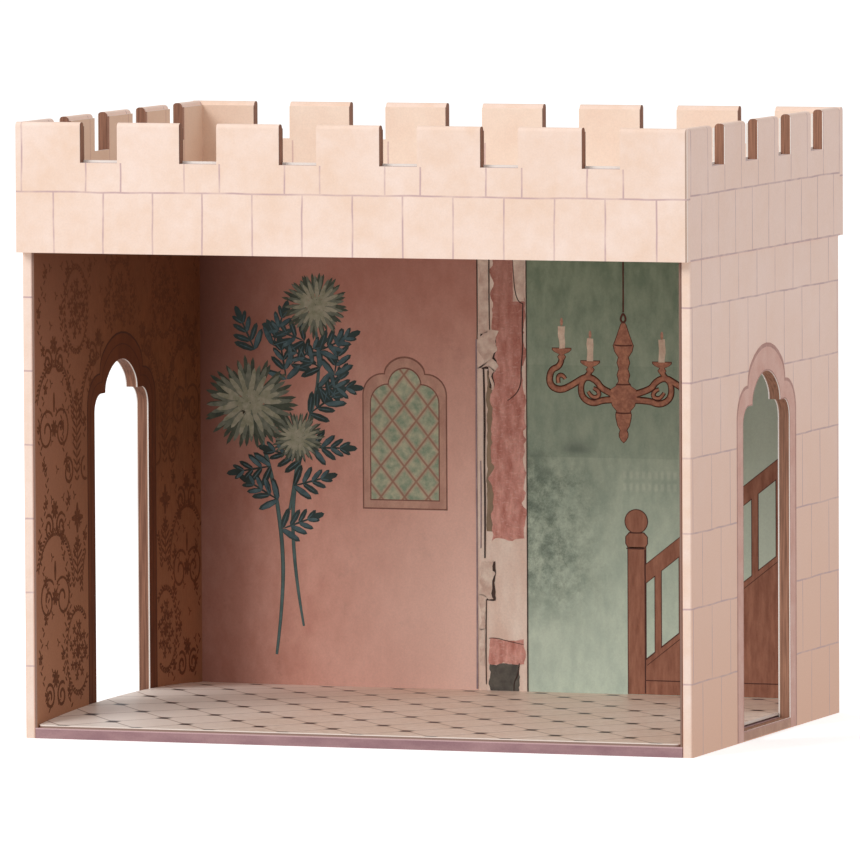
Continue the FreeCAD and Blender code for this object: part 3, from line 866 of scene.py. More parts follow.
def brushed(name, strokes, paper, where, lift, grow=0.0):
    """Brush strokes, each a list of (x, y, half width) in mm, pressed flat."""
    curve = bpy.data.curves.new(name, "CURVE")
    curve.dimensions = "3D"
    curve.bevel_depth = 1.0
    curve.bevel_resolution = 1
    curve.resolution_u = 5
    curve.use_fill_caps = True
    for stroke in strokes:
        spline = curve.splines.new("NURBS")
        spline.points.add(len(stroke) - 1)
        for point, (x, y, half) in zip(spline.points, stroke):
            point.co = (x, y, 0, 1)
            point.radius = half + grow
        spline.order_u = 3
        spline.use_endpoint_u = True
    brush = bpy.data.objects.new(name, curve)
    bm = bmesh.new()
    bm.from_mesh(bpy.data.meshes.new_from_object(brush))
    bpy.data.objects.remove(brush)
    bmesh.ops.scale(bm, vec=(1, 1, 0.03), verts=bm.verts[:])
    bmesh.ops.translate(bm, vec=(0, 0, lift), verts=bm.verts[:])
    bmesh.ops.recalc_face_normals(bm, faces=bm.faces[:])
    bmesh.ops.transform(bm, matrix=where, verts=bm.verts[:])
    mesh = bpy.data.meshes.new(name)
    bm.to_mesh(mesh)
    bm.free()
    return hand_in(mesh, name, paper)


def leaf(bm, x, y, long, wide, turn, sides=6):
    """A pointed leaf from its foot at x, y, turned by some degrees."""
    lie = random.uniform(0.0, 0.03)  # no two leaves in one plane
    shape = Matrix.Translation((x, y, lie)) @ Matrix.Rotation(
        math.radians(turn), 4, "Z") @ Matrix.Diagonal(
        (long, wide, 1, 1)) @ Matrix.Translation((0.5, 0, 0))
    bmesh.ops.create_circle(bm, cap_ends=True, segments=sides, radius=0.5,
                            matrix=shape)


# %% [markdown]
# On the right, the back card shows a garden room behind the torn wall: a misty
# green that is dark above and pale below, with a stand of trees at the left and a
# far house that the mist all but hides. Each is a mask of the room's own places.

# %% Green room behind the torn wall
material, tree, place = new_sheet("misty green print, litho card")
where = add(tree, "SeparateXYZ", {0: place})
mist = laid_over(tree, faded(tree, where.outputs["Z"], 12, 185), ink("#ddefde"),
                 ink("#7e9177"))
brushy = washed(tree, place, ink("#b4c0a8"), ink("#5c7361"), 5.0, (1, 1, 0.45))
mist = laid_over(tree, 0.3, mist, brushy)
above_seam = within(tree, where.outputs["Z"], 102.2, 140.0)
mist = laid_over(tree, both(tree, above_seam, 0.16), mist, ink("#5f7a66"))


def grows(axis, none_at, full_at):
    """The same fading mask, along an axis of the room card."""
    return faded(tree, where.outputs[axis], none_at, full_at)


mist = laid_over(tree, both(tree, grows("X", 80, 110), 0.8), mist, ink("#cbdac9"))
crown_of_tree = add(tree, "TexNoise", {"Vector": place, "Scale": 1 / (8 * MM),
                                       "Detail": 9.0, "Roughness": 0.82})
foliage = add(tree, "MapRange", {"Value": crown_of_tree, "From Min": 0.4,
                                 "From Max": 0.6})
stand = both(tree, both(tree, grows("X", 48, 24), grows("Z", 28, 52)),
             grows("Z", 106, 92))
mist = laid_over(tree, both(tree, both(tree, foliage, stand), 0.62), mist,
                 ink("#4d6154"))
# a far house: rows of pale windows that the mist all but hides
far_windows = both(tree, drawn_lines(tree, where.outputs["X"], 50.0, 2.7, 1.3),
                   drawn_lines(tree, where.outputs["Z"], 95.5, 5.0, 2.8))
far_windows = both(tree, far_windows, both(tree, within(
    tree, where.outputs["X"], 48.5, 74.0), within(tree, where.outputs["Z"], 87.5, 98.5)))
mist = laid_over(tree, both(tree, far_windows, 0.2), mist, ink("#e9efdc"))
smudge = both(tree, both(tree, grows("X", 20, 27), grows("X", 40, 31)),
              both(tree, grows("Z", 102, 105), grows("Z", 112, 106)))
mist = laid_over(tree, both(tree, smudge, 0.5), mist, ink("#3d4f4a"))
shady_side = both(tree, grows("X", 34, 9), both(tree, grows("Z", 44, 62),
                                                grows("Z", 124, 104)))
mist = laid_over(tree, both(tree, both(tree, foliage, shady_side), 0.4), mist,
                 ink("#45594d"))
on_paper(tree, place, mist, specks=0.05)
misty_green = material

bm = bmesh.new()
torn_sheet(bm, 7.6, CARD_RIGHT - 0.05, 4.4, WALL_TOP - 0.1)
print_on(bm, "garden_room", misty_green, ON_BACK, 0.0)

# %% [markdown]
# The torn strip between the two rooms is bare beige wall with a dark crack, a
# panel of old red plaster, and a few flakes that hang off. Each layer is a torn
# sheet, and each lies a little above the one before.

# %% Torn strip of wall
beige_wall = printed_ink("bare beige wall print, litho card", "#fceadb", "#efd3c2",
                         9.0, (1, 1, 0.3))
flake_cream = printed_ink("plaster flake print, litho card", "#f4e2d2", "#d5b6a6", 5.0)
dark_gap = printed_ink("dark gap print, litho card", "#6a665d", "#504c47", 4.0)
crack_brown = printed_ink("crack line print, litho card", "#4e3a33", "#3a2a26", 4.0)
lilac_line = printed_ink("lilac edge print, litho card", "#b8a0a4", "#98838a", 6.0)
green_shade = printed_ink("brown shade print, litho card", "#a38d74", "#897560", 4.0,
                          (1, 1, 0.3))

material, tree, place = new_sheet("old red plaster print, litho card")
where = add(tree, "SeparateXYZ", {0: place})
plaster = washed(tree, place, ink("#e6ac9f"), ink("#c0796b"), 3.0, (1, 1, 0.35), 8.0)
scratch = add(tree, "TexNoise", {"Vector": add(tree, "Mapping", {
    "Vector": place, "Scale": (0.7, 1, 1.4)}), "Scale": 1 / (1.3 * MM), "Detail": 6.0})
scratch = add(tree, "MapRange", {"Value": scratch, "From Min": 0.56, "From Max": 0.66,
                                 "To Max": 0.34})
plaster = laid_over(tree, scratch, plaster, ink("#efcabd"))
# darker towards the top: painted shade under the deck
plaster = laid_over(tree, faded(tree, where.outputs["Z"], 130, 185, 0.5), plaster,
                    ink("#8f5e4c"))
on_paper(tree, place, plaster, specks=0.1)
red_plaster = material

LAYERS = [
    ("torn_wall_ground", beige_wall, [(-13.8, 7.5, 4.4, 194.3, 0.1)]),
    ("wall_shade", green_shade, [(-9.6, -6.6, 71.0, 137.0, 0.4)]),
    ("red_plaster_panel", red_plaster, [(-7.4, 6.9, 67.6, 194.0, 0.45),
                                        (-9.0, 6.4, 16.6, 26.6, 0.9)]),
    ("dark_wall_gap", dark_gap, [(-8.8, 4.0, 4.9, 16.6, 0.7)]),
    ("plaster_flake_shade", crack_brown, [(-11.6, -5.9, 137.4, 153.4, 0.5),
                                          (-9.2, -6.1, 131.0, 138.0, 0.4),
                                          (-11.4, -6.1, 42.4, 58.6, 0.5)]),
    ("plaster_flakes", flake_cream, [(-12.6, -6.6, 138.2, 153.4, 0.6),
                                     (-9.4, -6.8, 132.0, 138.4, 0.4),
                                     (-12.8, -6.9, 43.4, 58.9, 0.6),
                                     (-13.0, -10.2, 31.0, 44.0, 0.4),
                                     (-12.9, -8.8, 153.0, 194.0, 0.2),
                                     (-12.9, -10.6, 16.0, 31.0, 0.25),
                                     (2.2, 7.0, 165.6, 194.0, 0.4)]),
]
for level, (name, paper, sheets) in enumerate(LAYERS):
    bm = bmesh.new()
    for left, right, low, high, rag in sheets:
        torn_sheet(bm, left, right, low, min(high, WALL_TOP - 0.3 - 1.4 * rag), rag)
    print_on(bm, name, paper, ON_BACK, 0.05 * level + 0.02)
brushed("wall_crack", [
    [(-10.8, 138, 0.35), (-10.3, 120, 0.5), (-10.7, 100, 0.35), (-10.3, 80, 0.45),
     (-10.6, 60, 0.3)],
    [(-13.5, 193, 0.28), (-13.4, 165, 0.22), (-13.5, 150, 0.2)],
    [(-8.2, 193, 0.3), (-8.4, 165, 0.24), (-8.1, 154, 0.2)],
    [(-10.0, 43, 0.2), (-10.4, 28, 0.28), (-10.2, 8, 0.2)],
    [(6.4, 165, 0.2), (6.0, 155, 0.3), (6.3, 146, 0.2), (5.4, 138, 0.25),
     (5.6, 132, 0.2), (3.0, 127, 0.2), (-0.5, 125, 0.1)],
    [(2.1, 183, 0.1), (2.4, 172, 0.2), (4.4, 165, 0.2), (6.4, 165, 0.2)],
    [(-9.0, 27, 0.1), (-6.0, 27.4, 0.15), (-1.0, 26, 0.12), (6.0, 24.8, 0.1)],
    [(4.2, 17, 0.2), (3.6, 12, 0.3), (1.6, 9, 0.2), (1.8, 5, 0.2)],
    [(7.8, 193, 0.2), (7.9, 100, 0.16), (7.8, 5, 0.25)],
], crack_brown, ON_BACK, 0.36)
brushed("wall_edge_line", [
    [(-13.9, 150, 0.3), (-14.1, 100, 0.36), (-13.9, 60, 0.3), (-14.1, 6, 0.36)],
    [(-12.2, 100, 0.2), (-12.0, 82, 0.3), (-12.3, 64, 0.2)],
], lilac_line, ON_BACK, 0.36)

# %% [markdown]
# The printed window has a shouldered arch like the doorways, a frame of worn
# wood, and leaded green glass. The leads are two sets of slanting lines, so each
# is drawn along the sum or the difference of the across and up places.

# %% Window
wood_tan = printed_ink("worn window frame print, litho card", "#d6ab98", "#c29483",
                       6.0, (1, 1, 0.4))
window_line = printed_ink("window line print, litho card", "#96685a", "#83574b", 5.0)
WINDOW = -45.3


def window_arch(grow):
    """The window's outer outline, let out by some millimetres."""
    return (18.5 + grow, 79.2 - grow, 135.4 + grow, 9.0 + grow * 0.9, 9.0 + grow * 0.8,
            7.0 + grow * 0.3, 5.0 + grow * 0.3)


def window_pane(grow):
    """The glass, let out by some millimetres."""
    return (14.7 + grow, 83.3 - grow, 130.6 + grow, 7.6 + grow * 0.9,
            6.9 + grow * 0.8, 6.6 + grow * 0.3, 5.0 + grow * 0.3)


def arch_sheet(outline):
    """A whole shouldered arch, filled, in the window's place."""
    bm = bmesh.new()
    arch_half(bm, *outline)
    fold_over(bm)
    feet = [v for v in bm.verts if len(v.link_edges) == 1]
    bm.edges.new(feet)
    bmesh.ops.triangle_fill(bm, use_beauty=True, edges=bm.edges[:])
    bmesh.ops.translate(bm, vec=(WINDOW, 0, 0), verts=bm.verts[:])
    return bm


material, tree, place = new_sheet("leaded green glass print, litho card")
hand = nudged(tree, place, 0.3, 18.0)
GLASS_WIDE, GLASS_HIGH = 10.3, 12.6
slant = add(tree, "Math", {0: hand.outputs["Z"], 1: GLASS_WIDE / GLASS_HIGH},
            operation="MULTIPLY")
rising = add(tree, "Math", {0: hand.outputs["X"], 1: slant}, operation="ADD")
falling = add(tree, "Math", {0: hand.outputs["X"], 1: slant}, operation="SUBTRACT")
cross_x, cross_z = -45.5, 97.0 * GLASS_WIDE / GLASS_HIGH
leads = either(tree, drawn_lines(tree, rising, cross_x + cross_z, GLASS_WIDE, 0.9),
               drawn_lines(tree, falling, cross_x - cross_z, GLASS_WIDE, 0.9))
halo = either(tree, drawn_lines(tree, rising, cross_x + cross_z, GLASS_WIDE, 2.6),
              drawn_lines(tree, falling, cross_x - cross_z, GLASS_WIDE, 2.6))
glass = washed(tree, place, ink("#c6c9ac"), ink("#8fa48c"), 3.0, (1, 1, 1), 8.0)
glass = laid_over(tree, both(tree, halo, 0.5), glass, ink("#cdab95"))
glass = laid_over(tree, both(tree, leads, 0.8), glass, ink("#a3715f"))
on_paper(tree, place, glass, specks=0.05)
leaded_glass = material

for name, paper, outline, lift, thick in (
        ("window_outline", window_line, window_arch(0.0), 0.0, 0.03),
        ("window_frame", wood_tan, window_arch(-0.6), 0.02, 0.04),
        ("window_rebate", window_line, window_pane(0.5), 0.05, 0.03),
        ("window_glass", leaded_glass, window_pane(0.0), 0.08, 0.03)):
    print_on(arch_sheet(outline), name, paper, ON_BACK, lift, thick)

# %% [markdown]
# A staircase climbs to the right at the foot of the green room: a turned newel
# post with a ball, a handrail, balusters and a solid side. Each part is printed
# twice, first in dark outline and a little larger, then in wood.

# %% Staircase
stair_wood = printed_ink("stair wood print, litho card", "#aa745c", "#8c5843", 3.5,
                         (1.4, 1, 0.25))
stair_line = printed_ink("stair outline print, litho card", "#5b3026", "#4b251d", 5.0)
RISE = 0.78
STAIR_END = CARD_RIGHT - 0.4


def slope_board(bm, left, right, low, high, grow):
    """A board that climbs to the right between two plumb ends."""
    torn_sheet(bm, left - grow, right + grow * 0.3, low - grow, high + grow)
    bm.verts.ensure_lookup_table()
    for corner in bm.verts[-4:]:
        corner.co.y += (corner.co.x - left) * RISE


def staircase(grow):
    """The whole staircase, let out by some millimetres."""
    bm = bmesh.new()
    for count in range(8):
        middle = 64.2 + 10.4 * count
        foot = 17 + (middle - 58.5) * RISE
        torn_sheet(bm, middle - 1.3 - grow, middle + 1.3 + grow, foot, foot + 37)
    # the balusters lie under the rail and the side
    bmesh.ops.translate(bm, vec=(0, 0, -0.02), verts=bm.verts[:])
    slope_board(bm, 58.5, STAIR_END, 51.0, 58.6, grow)
    # the side: from the floor up to the slope
    pen_corners = pen(bm, (58.5 - grow, 5.6), (STAIR_END, 5.6),
                      (STAIR_END, 19.5 + grow + (STAIR_END - 58.5) * RISE),
                      (58.5 - grow, 19.5 + grow))
    bm.faces.new(pen_corners)
    post = len(bm.verts)
    torn_sheet(bm, 51.3 - grow, 58.9 + grow, 5.6, 66.0)
    neck = pen(bm, (51.8 - grow, 65.2 - grow), (58.2 + grow, 65.2 - grow),
               (59.6 + grow, 67.4), (59.6 + grow, 70.2), (58.0 + grow, 71.8 + grow),
               (52.0 - grow, 71.8 + grow), (50.4 - grow, 70.2), (50.4 - grow, 67.4))
    bm.faces.new(neck)
    bmesh.ops.create_circle(bm, cap_ends=True, segments=32, radius=4.8 + grow,
                            matrix=Matrix.Translation((54.9, 76.5, -0.005)))
    bm.verts.ensure_lookup_table()
    bmesh.ops.translate(bm, vec=(0, 0, 0.01), verts=bm.verts[post:])
    return bm


print_on(staircase(0.3), "staircase_outline", stair_line, ON_BACK, 0.05, 0.03)
print_on(staircase(-0.1), "staircase", stair_wood, ON_BACK, 0.09, 0.04)
brushed("staircase_lines", [
    [(50.6, 65.4, 0.25), (54.6, 65.2, 0.3), (58.6, 65.4, 0.25)],
    [(51.8, 71.9, 0.25), (54.6, 71.7, 0.3), (57.4, 71.9, 0.25)],
    [(58.9, 11.4, 0.2), (90, 11.2, 0.25), (134, 11.4, 0.2)],
    [(58.6, 6.0, 0.3), (58.7, 30, 0.3), (58.6, 65, 0.3)],
    [(59.4, 17.6, 0.15), (134, 75.8, 0.15)],
], stair_line, ON_BACK, 0.14)

# %% [markdown]
# A chandelier hangs in the green room: a chain, a ring, a turned body, four
# arms and their candles. The body is half a profile that the pen draws and folds
# over, and the arms are strokes. A dark copy, a little larger, is its outline.

# %% Chandelier
copper = printed_ink("copper brown print, litho card", "#c58a6d", "#9d6653", 2.0)
copper_line = printed_ink("chandelier outline print, litho card", "#66362a",
                          "#4e271e", 4.0)
candle_wax = printed_ink("candle print, litho card", "#f0dcc6", "#dcc0a8", 3.0)
flame_pink = printed_ink("flame print, litho card", "#dba892", "#b98570", 1.5)
HANG = 49.6
PROFILE = [(0.0, 108.8), (0.8, 109.4), (1.7, 111.0), (1.8, 112.4), (1.3, 113.8),
           (2.4, 115.6), (3.1, 118.6), (3.2, 120.2), (2.8, 121.6), (4.6, 123.6),
           (5.7, 127.0), (5.3, 130.4), (3.1, 131.8), (1.9, 133.8), (2.6, 136.4),
           (1.8, 138.8), (2.6, 141.4), (2.0, 143.6), (3.6, 146.0), (4.2, 148.4),
           (3.7, 149.6), (2.4, 153.0), (1.0, 157.0), (0.0, 158.2)]
CUPS = [(23.0, 146.8), (35.3, 141.8), (66.2, 141.8), (78.5, 146.8)]
ARMS = [
    [(23.0, 142.6, 0.9), (22.4, 139.4, 1.0), (18.2, 138.2, 1.1), (17.4, 131.8, 1.2),
     (22.4, 129.4, 1.2), (28.0, 132.2, 1.1), (33.6, 135.8, 1.1), (38.0, 134.0, 1.1),
     (40.4, 130.2, 1.1), (45.6, 128.4, 1.2)],
    [(35.3, 137.8, 0.9), (34.2, 135.8, 0.9), (31.2, 133.0, 1.0), (31.4, 127.0, 1.1),
     (36.4, 124.2, 1.1), (41.0, 126.2, 1.1), (45.8, 126.2, 1.2)],
    [(36.6, 130.8, 0.5), (38.6, 130.2, 0.7), (39.4, 127.6, 0.7), (36.0, 126.6, 0.6),
     (34.4, 129.4, 0.5)],
    [(24.6, 134.4, 0.5), (23.4, 136.2, 0.7), (21.0, 135.4, 0.7), (21.6, 132.6, 0.6)],
]
ARMS += [[(2 * HANG + 2.3 - x - (2.3 if x > 44 else 0), y, half)
          for x, y, half in arm] for arm in ARMS]


def chandelier(grow):
    """The body and the cups, let out by some millimetres."""
    bm = bmesh.new()
    pen(bm, (0.0, PROFILE[0][1] - grow),
        *[(x + grow if 0 < x else x, y) for x, y in PROFILE[1:-1]],
        (0.0, PROFILE[-1][1] + grow))
    fold_over(bm)
    bmesh.ops.triangle_fill(bm, use_beauty=True, edges=bm.edges[:])
    bmesh.ops.translate(bm, vec=(HANG, 0, 0), verts=bm.verts[:])
    for x, y in CUPS:
        half_cup = [(0.9, -4.6), (1.6, -3.4), (0.8, -2.4), (2.8, -1.5), (3.9, -0.6),
                    (3.9, 0.0)]
        cup = [(x + side * (wide + grow), y + high + (grow if high == 0 else 0))
               for side, half in ((1, half_cup), (-1, half_cup[::-1]))
               for wide, high in half]
        bm.faces.new(pen(bm, *cup))
    return bm


brushed("chandelier_arm_outline", ARMS, copper_line, ON_BACK, 0.07, 0.35)
print_on(chandelier(0.35), "chandelier_outline", copper_line, ON_BACK, 0.06, 0.03)
brushed("chandelier_arms", ARMS, copper, ON_BACK, 0.12)
print_on(chandelier(0.0), "chandelier_body", copper, ON_BACK, 0.09, 0.05)
brushed("chandelier_chain", [
    [(HANG, WALL_TOP - 1, 0.35), (HANG + 0.1, 176, 0.3), (HANG, 162, 0.35)],
    [(HANG, 161.6, 0.4), (HANG - 1.6, 159.4, 0.45), (HANG, 157.4, 0.4),
     (HANG + 1.6, 159.4, 0.45), (HANG, 161.6, 0.4)],
    [(HANG - 3.8, 148.6, 0.25), (HANG, 148.1, 0.3), (HANG + 3.8, 148.6, 0.25)],
    [(HANG - 3.2, 132.6, 0.25), (HANG, 132.2, 0.3), (HANG + 3.2, 132.6, 0.25)],
    [(HANG - 3.4, 120.9, 0.25), (HANG, 120.5, 0.3), (HANG + 3.4, 120.9, 0.25)],
], copper_line, ON_BACK, 0.17)
candles, flames = bmesh.new(), bmesh.new()
for x, y in CUPS:
    torn_sheet(candles, x - 1.4, x + 1.4, y, y + 9.4, 0.12)
    leaf(flames, x, y + 9.2, 3.4, 1.2, 90, 10)
print_on(candles, "chandelier_candles", candle_wax, ON_BACK, 0.1, 0.04)
print_on(flames, "chandelier_flames", flame_pink, ON_BACK, 0.1, 0.04)

# %% [markdown]
# Flowers are printed on the pink plaster. They are a plain design of this
# lesson's own: three round blooms on bent stems, with sprigs of pointed leaves.
# A bloom is rings of petals, each ring paler and shorter than the one under it.

# %% Flowers
petal_dark = printed_ink("deep petal print, litho card", "#5a6353", "#3f4940", 3.0)
petal_mid = printed_ink("grey green petal print, litho card", "#8b9080", "#6b7466", 3.0)
petal_pale = printed_ink("pale petal print, litho card", "#b9b7a2", "#94987f", 3.0)
leaf_teal = printed_ink("dark teal leaf print, litho card", "#394d4d", "#26332f", 14.0)
stem_teal = printed_ink("grey teal stem print, litho card", "#5f7a78", "#4b6361", 6.0)
BLOOMS = [(-113.0, 122.0, 21.0), (-84.0, 163.0, 15.0), (-92.0, 108.0, 12.0)]
RINGS = [("deep_petals", petal_dark, ((1.0, 30, 0), (0.82, 26, 6))),
         ("grey_petals", petal_mid, ((0.9, 24, 3), (0.66, 20, 9))),
         ("pale_petals", petal_pale, ((0.72, 17, 0), (0.5, 14, 5), (0.3, 11, 0),
                                      (0.16, 9, 12), (0.05, 9, 0)))]
for level, (name, paper, rings) in enumerate(RINGS):
    bm = bmesh.new()
    for x, y, reach in BLOOMS:
        for share, count, offset in rings:
            for number in range(count):
                turn = offset + 360 / count * number + random.uniform(-5, 5)
                foot = reach * share * 0.35
                long = reach * share * random.uniform(0.55, 0.68)
                leaf(bm, x + foot * math.cos(math.radians(turn)),
                     y + foot * 0.86 * math.sin(math.radians(turn)),
                     long, reach * 0.1, turn, 8)
        if level == 1:
            bmesh.ops.create_circle(bm, cap_ends=True, segments=16, radius=reach * 0.22,
                                    matrix=Matrix.Translation((x, y, 0)))
    print_on(bm, name, paper, ON_BACK, 0.06 + 0.04 * level, 0.03)
STEMS = [
    [(-112, 118, 0.9), (-104, 96, 0.9), (-99, 66, 0.9), (-99, 40, 0.8), (-102, 18, 0.6)],
    [(-85, 158, 0.6), (-81, 138, 0.7), (-88, 112, 0.8), (-95, 84, 0.8), (-94, 52, 0.8),
     (-90, 30, 0.5)],
    [(-92, 104, 0.6), (-93, 92, 0.7), (-96, 78, 0.6)],
]
brushed("flower_stems", STEMS, stem_teal, ON_BACK, 0.03)
leaf_light = printed_ink("pale teal leaf print, litho card", "#5b767c", "#3f5960", 3.0)
bm, lit = bmesh.new(), bmesh.new()
SPRIGS = [(-82.5, 144, 25), (-82.0, 137, 150), (-83.0, 129, 0), (-87.0, 118, 35),
          (-90.5, 99, 165), (-94.0, 88, 15), (-104, 96, 190), (-101, 82, 150),
          (-99.5, 70, 20), (-111, 144, 115), (-103, 146, 70), (-95, 138, 35),
          (-97, 132, 100), (-80, 122, 60), (-76, 134, 80), (-89, 148, 160),
          (-86, 104, 0)]
for x, y, turn in SPRIGS:
    for number in range(4):
        along = 4.0 * number
        foot_x = x + along * math.cos(math.radians(turn))
        foot_y = y + along * math.sin(math.radians(turn))
        for side in (-1, 1):
            way = turn + side * (52 - 8 * number) + random.uniform(-8, 8)
            leaf(bm, foot_x, foot_y, 9.5 - number * 1.3, 2.9 - 0.3 * number, way, 8)
            leaf(lit, foot_x, foot_y, 7.5 - number * 1.2, 0.5, way, 6)
            if random.random() < 0.4:
                leaf(lit, foot_x, foot_y, 8.6 - number * 1.3, 2.0 - 0.2 * number,
                     way + 3, 8)
    leaf(bm, x + 13 * math.cos(math.radians(turn)), y + 13 * math.sin(math.radians(turn)),
         7.0, 2.8, turn, 8)
    leaf(bm, x, y, 16.0, 0.9, turn, 8)
print_on(bm, "flower_leaves", leaf_teal, ON_BACK, 0.01, 0.04)
print_on(lit, "flower_leaf_lights", leaf_light, ON_BACK, 0.05, 0.03)

# %% [markdown]
# The damask on the side cards is a common one: ovals of small leaves with a posy
# inside, sprays between them, and scrolls under leafy arches in the columns
# between. It is built from one leaf that is laid again and again, and any leaf
# that would fall on the door frame is left out.

# %% Damask pattern
damask_ink = printed_ink("dark damask print, litho card", "#6f3d1e", "#582d13", 2.5)


def on_the_card(x, y):
    """True where the side card shows its pattern: clear of the door and edges."""
    in_frame = abs(x) < 41.2 and y < 132
    in_arch = math.hypot(x, (y - 126) * 0.95) < 32.5
    return not in_frame and not in_arch and -94 < x < 89 and 7 < y < 192


def motif_leaf(bm, x, y, long, wide, turn):
    """A leaf, if it falls where the pattern shows."""
    if on_the_card(x, y):
        leaf(bm, x, y, long, wide, turn)


def posy(bm, x, y, petal, count):
    """A small open flower."""
    for number in range(count):
        motif_leaf(bm, x, y, petal, petal * 0.45, 360 / count * number + 15)


def oval_wreath(bm, x, y):
    """An oval ring of leaves with a posy of flowers inside."""
    for number in range(40):
        turn = math.radians(360 / 40 * number)
        for way in (28, -28):
            motif_leaf(bm, x + 12.6 * math.cos(turn), y + 17.0 * math.sin(turn), 2.6, 1.0,
                       math.degrees(turn) + 90 + way)
    for number in range(16):
        turn = math.radians(360 / 16 * number + 11)
        reach = 1.0 if number % 2 else 0.62
        posy(bm, x + 7.6 * reach * math.cos(turn), y + 10.5 * reach * math.sin(turn),
             2.3, 5)
    posy(bm, x, y, 3.4, 7)
    for number in range(7):
        motif_leaf(bm, x, y - 10 + 3.2 * number, 3.6, 1.1, 55 if number % 2 else 125)


def scroll(bm, x, y, reach, way, start, turns=1.35):
    """A scroll of leaves that winds in to its middle."""
    steps = int(26 * turns)
    for number in range(steps):
        share = number / steps
        turn = math.radians(start) + way * turns * 2 * math.pi * share
        far = reach * (1 - 0.82 * share)
        motif_leaf(bm, x + far * math.cos(turn), y + far * math.sin(turn),
                   3.4 * (1 - 0.5 * share), 1.15, math.degrees(turn) + way * 96)


def leafy_arch(bm, x, y, wide, high):
    """An arch of small leaves that look both ways."""
    for number in range(34):
        turn = math.radians(180 / 33 * number)
        for way in (35, -35):
            motif_leaf(bm, x + wide * math.cos(turn), y + high * math.sin(turn), 2.9,
                       1.05, math.degrees(turn) + 90 + way)


def spray(bm, x, y, high):
    """An upright spray: a stalk with pairs of leaves and a bud on top."""
    for number in range(int(high / 3.0)):
        for way in (-1, 1):
            wide = 3.2 + 3.4 * math.sin(math.pi * number * 3.0 / high)
            motif_leaf(bm, x, y + 3.0 * number, wide, 1.2, 90 - way * 52)
    motif_leaf(bm, x, y, high, 0.7, 90)
    posy(bm, x, y + high, 3.2, 6)


def vine(bm, x, low, high, way):
    """A thin vine that sways up the wall, with small leaves on both sides."""
    for number in range(int((high - low) / 2.2)):
        y = low + 2.2 * number
        sway = x + way * 4.2 * math.sin(2 * math.pi * (y - 20) / 45)
        motif_leaf(bm, sway, y, 2.9, 1.0, 90 + (48 if number % 2 else -48))
        if number % 7 == 3:
            posy(bm, sway, y, 2.6, 5)


def damask():
    """The whole pattern: columns of wreaths and of arches, and fill between."""
    bm = bmesh.new()
    for x in (-87.6, -62.8, -38.0, -13.2, 11.6, 36.4, 61.2, 86.0):
        vine(bm, x, 9.0, 190.0, 1 if x > 0 else -1)
    for x in (-50.4, -0.8, 48.9):
        for y in (169.0, 31.3):
            oval_wreath(bm, x, y)
        spray(bm, x, 100.0, 34.0)
        spray(bm, x, 59.0, 16.0)
        for way in (0, 90, 180, 270):
            motif_leaf(bm, x, 84.9, 6.5, 2.6, way)
            motif_leaf(bm, x, 84.9, 4.2, 1.8, way + 45)
        for way in (-1, 1):
            scroll(bm, x + way * 9.5, 104.0, 6.0, way, 90 - way * 60)
    for row in range(16):
        for column in range(15):
            x = -84.5 + 12.4 * column + (6.2 if row % 2 else 0)
            y = 13.0 + 11.6 * row
            turn = 90 + (35 if (row + column) % 2 else -35)
            motif_leaf(bm, x, y, 2.4, 0.8, turn)
            motif_leaf(bm, x, y, 2.0, 0.7, turn + 120)
            motif_leaf(bm, x, y, 2.0, 0.7, turn - 120)
    for x in (-75.2, -25.6, 24.0, 73.8):
        for y in (122.5, 55.0):
            leafy_arch(bm, x, y + 2.0, 20.5, 24.0)
            posy(bm, x, y, 3.8, 8)
            for way in (-1, 1):
                scroll(bm, x + way * 8.2, y - 1.0, 8.8, -way, 90 + way * 50)
            motif_leaf(bm, x, y + 6, 9.0, 2.2, 90)
        for y in (90.0, 156.0, 22.0):
            posy(bm, x, y, 4.0, 8)
            for way in (-1, 1):
                scroll(bm, x + way * 6.5, y - 7.0, 5.2, way, 90 - way * 40)
    return bm


for side, where in (("left", ON_CARD_LEFT), ("right", ON_CARD_RIGHT)):
    bm = damask()
    if side == "right":
        bmesh.ops.scale(bm, vec=(-1, 1, 1), verts=bm.verts[:])
        bmesh.ops.reverse_faces(bm, faces=bm.faces[:])
    print_on(bm, "damask_pattern_" + side, damask_ink, where, 0.0, 0.04)

# %% [markdown]
# White floor, soft light and camera. The camera stands 4.5 m off with a long lens,
# 19 degrees to the right of straight on and about 4 degrees above the level, as
# in the photograph. The light is that of a white studio: all-round soft light
# with a large panel at the front left.

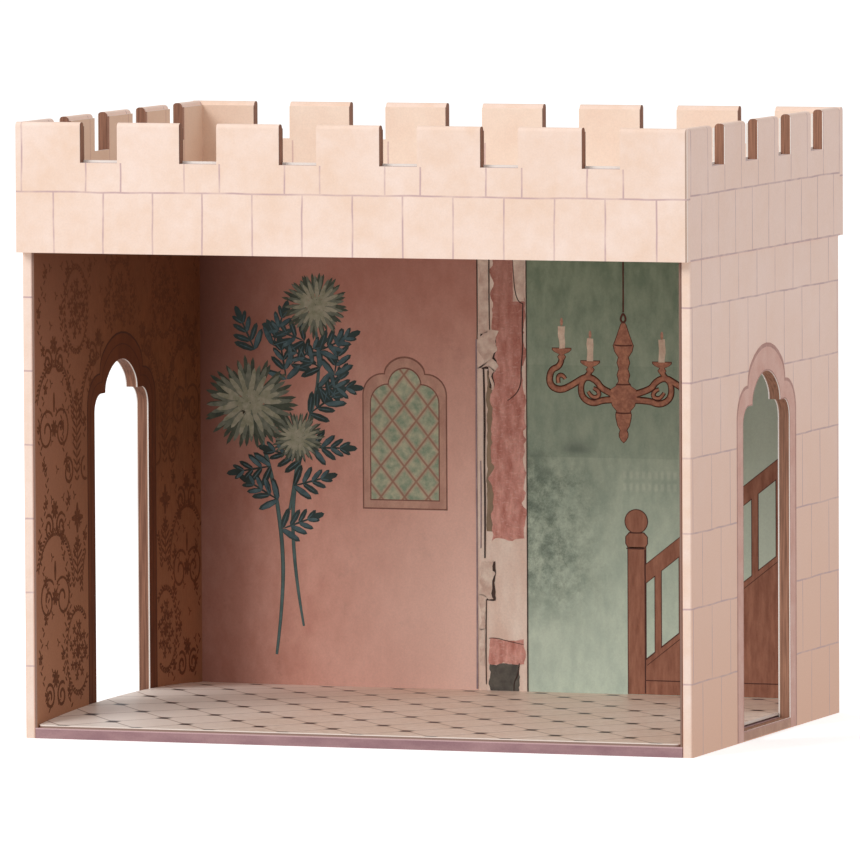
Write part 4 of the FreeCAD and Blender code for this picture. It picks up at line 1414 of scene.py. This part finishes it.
# %% Floor of the studio
floor_mesh = bpy.data.meshes.new("studio_floor")
bm = bmesh.new()
bmesh.ops.create_grid(bm, x_segments=4, y_segments=4, size=30.0)
bm.to_mesh(floor_mesh)
bm.free()
studio_floor = bpy.data.objects.new("studio_floor", floor_mesh)
bpy.context.scene.collection.objects.link(studio_floor)
material, tree, place = new_sheet("white studio sheet, matt vinyl")
sheet_white = washed(tree, place, ink("#fbfbfb"), ink("#f6f6f6"), 60.0)
shader = add(tree, "BsdfPrincipled", {"Base Color": sheet_white, "Roughness": 0.9,
                                      "Emission Color": (1, 1, 1, 1),
                                      "Emission Strength": 0.5})
add(tree, "OutputMaterial", {"Surface": shader})
floor_mesh.materials.append(material)
studio_floor.visible_diffuse = False

# %% [markdown]
# The lens is long, so that the hall's upright lines stay upright. Its small shifts
# put the hall where it stands in the picture.

# %% Camera
scene = bpy.context.scene
scene.view_settings.view_transform = "Standard"
lens = bpy.data.cameras.new("photo_camera")
lens.lens = 470.8
lens.sensor_width = 36.0
lens.shift_x = -0.0058
lens.shift_y = -0.0021
camera = bpy.data.objects.new("photo_camera", lens)
scene.collection.objects.link(camera)
camera.location = (1.5029, -4.2554, 0.4456)
aim = Vector((0, 0, 0.120)) - camera.location
turned = aim.to_track_quat("-Z", "Y").to_matrix().to_4x4()
roll = Matrix.Rotation(math.radians(-0.29), 4, "Z")
camera.matrix_world = Matrix.Translation(camera.location) @ turned @ roll
scene.camera = camera
print("camera %.2f m from the hall" % aim.length)

# %% [markdown]
# The room's walls are lit by a panel that looks in from the front left, so the
# left card and the corner beside it stay dark.

# %% Light
world = bpy.data.worlds.new("studio")
scene.world = world
world.use_nodes = True
world.node_tree.nodes["Background"].inputs["Color"].default_value = (1, 1, 1, 1)
world.node_tree.nodes["Background"].inputs["Strength"].default_value = 0.66


def panel(name, at, towards, size, watts):
    """A soft light panel that looks at a point."""
    glow = bpy.data.lights.new(name, "AREA")
    glow.shape = "RECTANGLE"
    glow.size, glow.size_y = size
    glow.energy = watts
    lamp = bpy.data.objects.new(name, glow)
    scene.collection.objects.link(lamp)
    lamp.location = at
    lamp.rotation_euler = (Vector(towards) - Vector(at)).to_track_quat(
        "-Z", "Y").to_euler()


panel("front_left_panel", (-1.32, -2.15, 1.72), (0, 0, 0.12), (1.2, 1.2), 40)
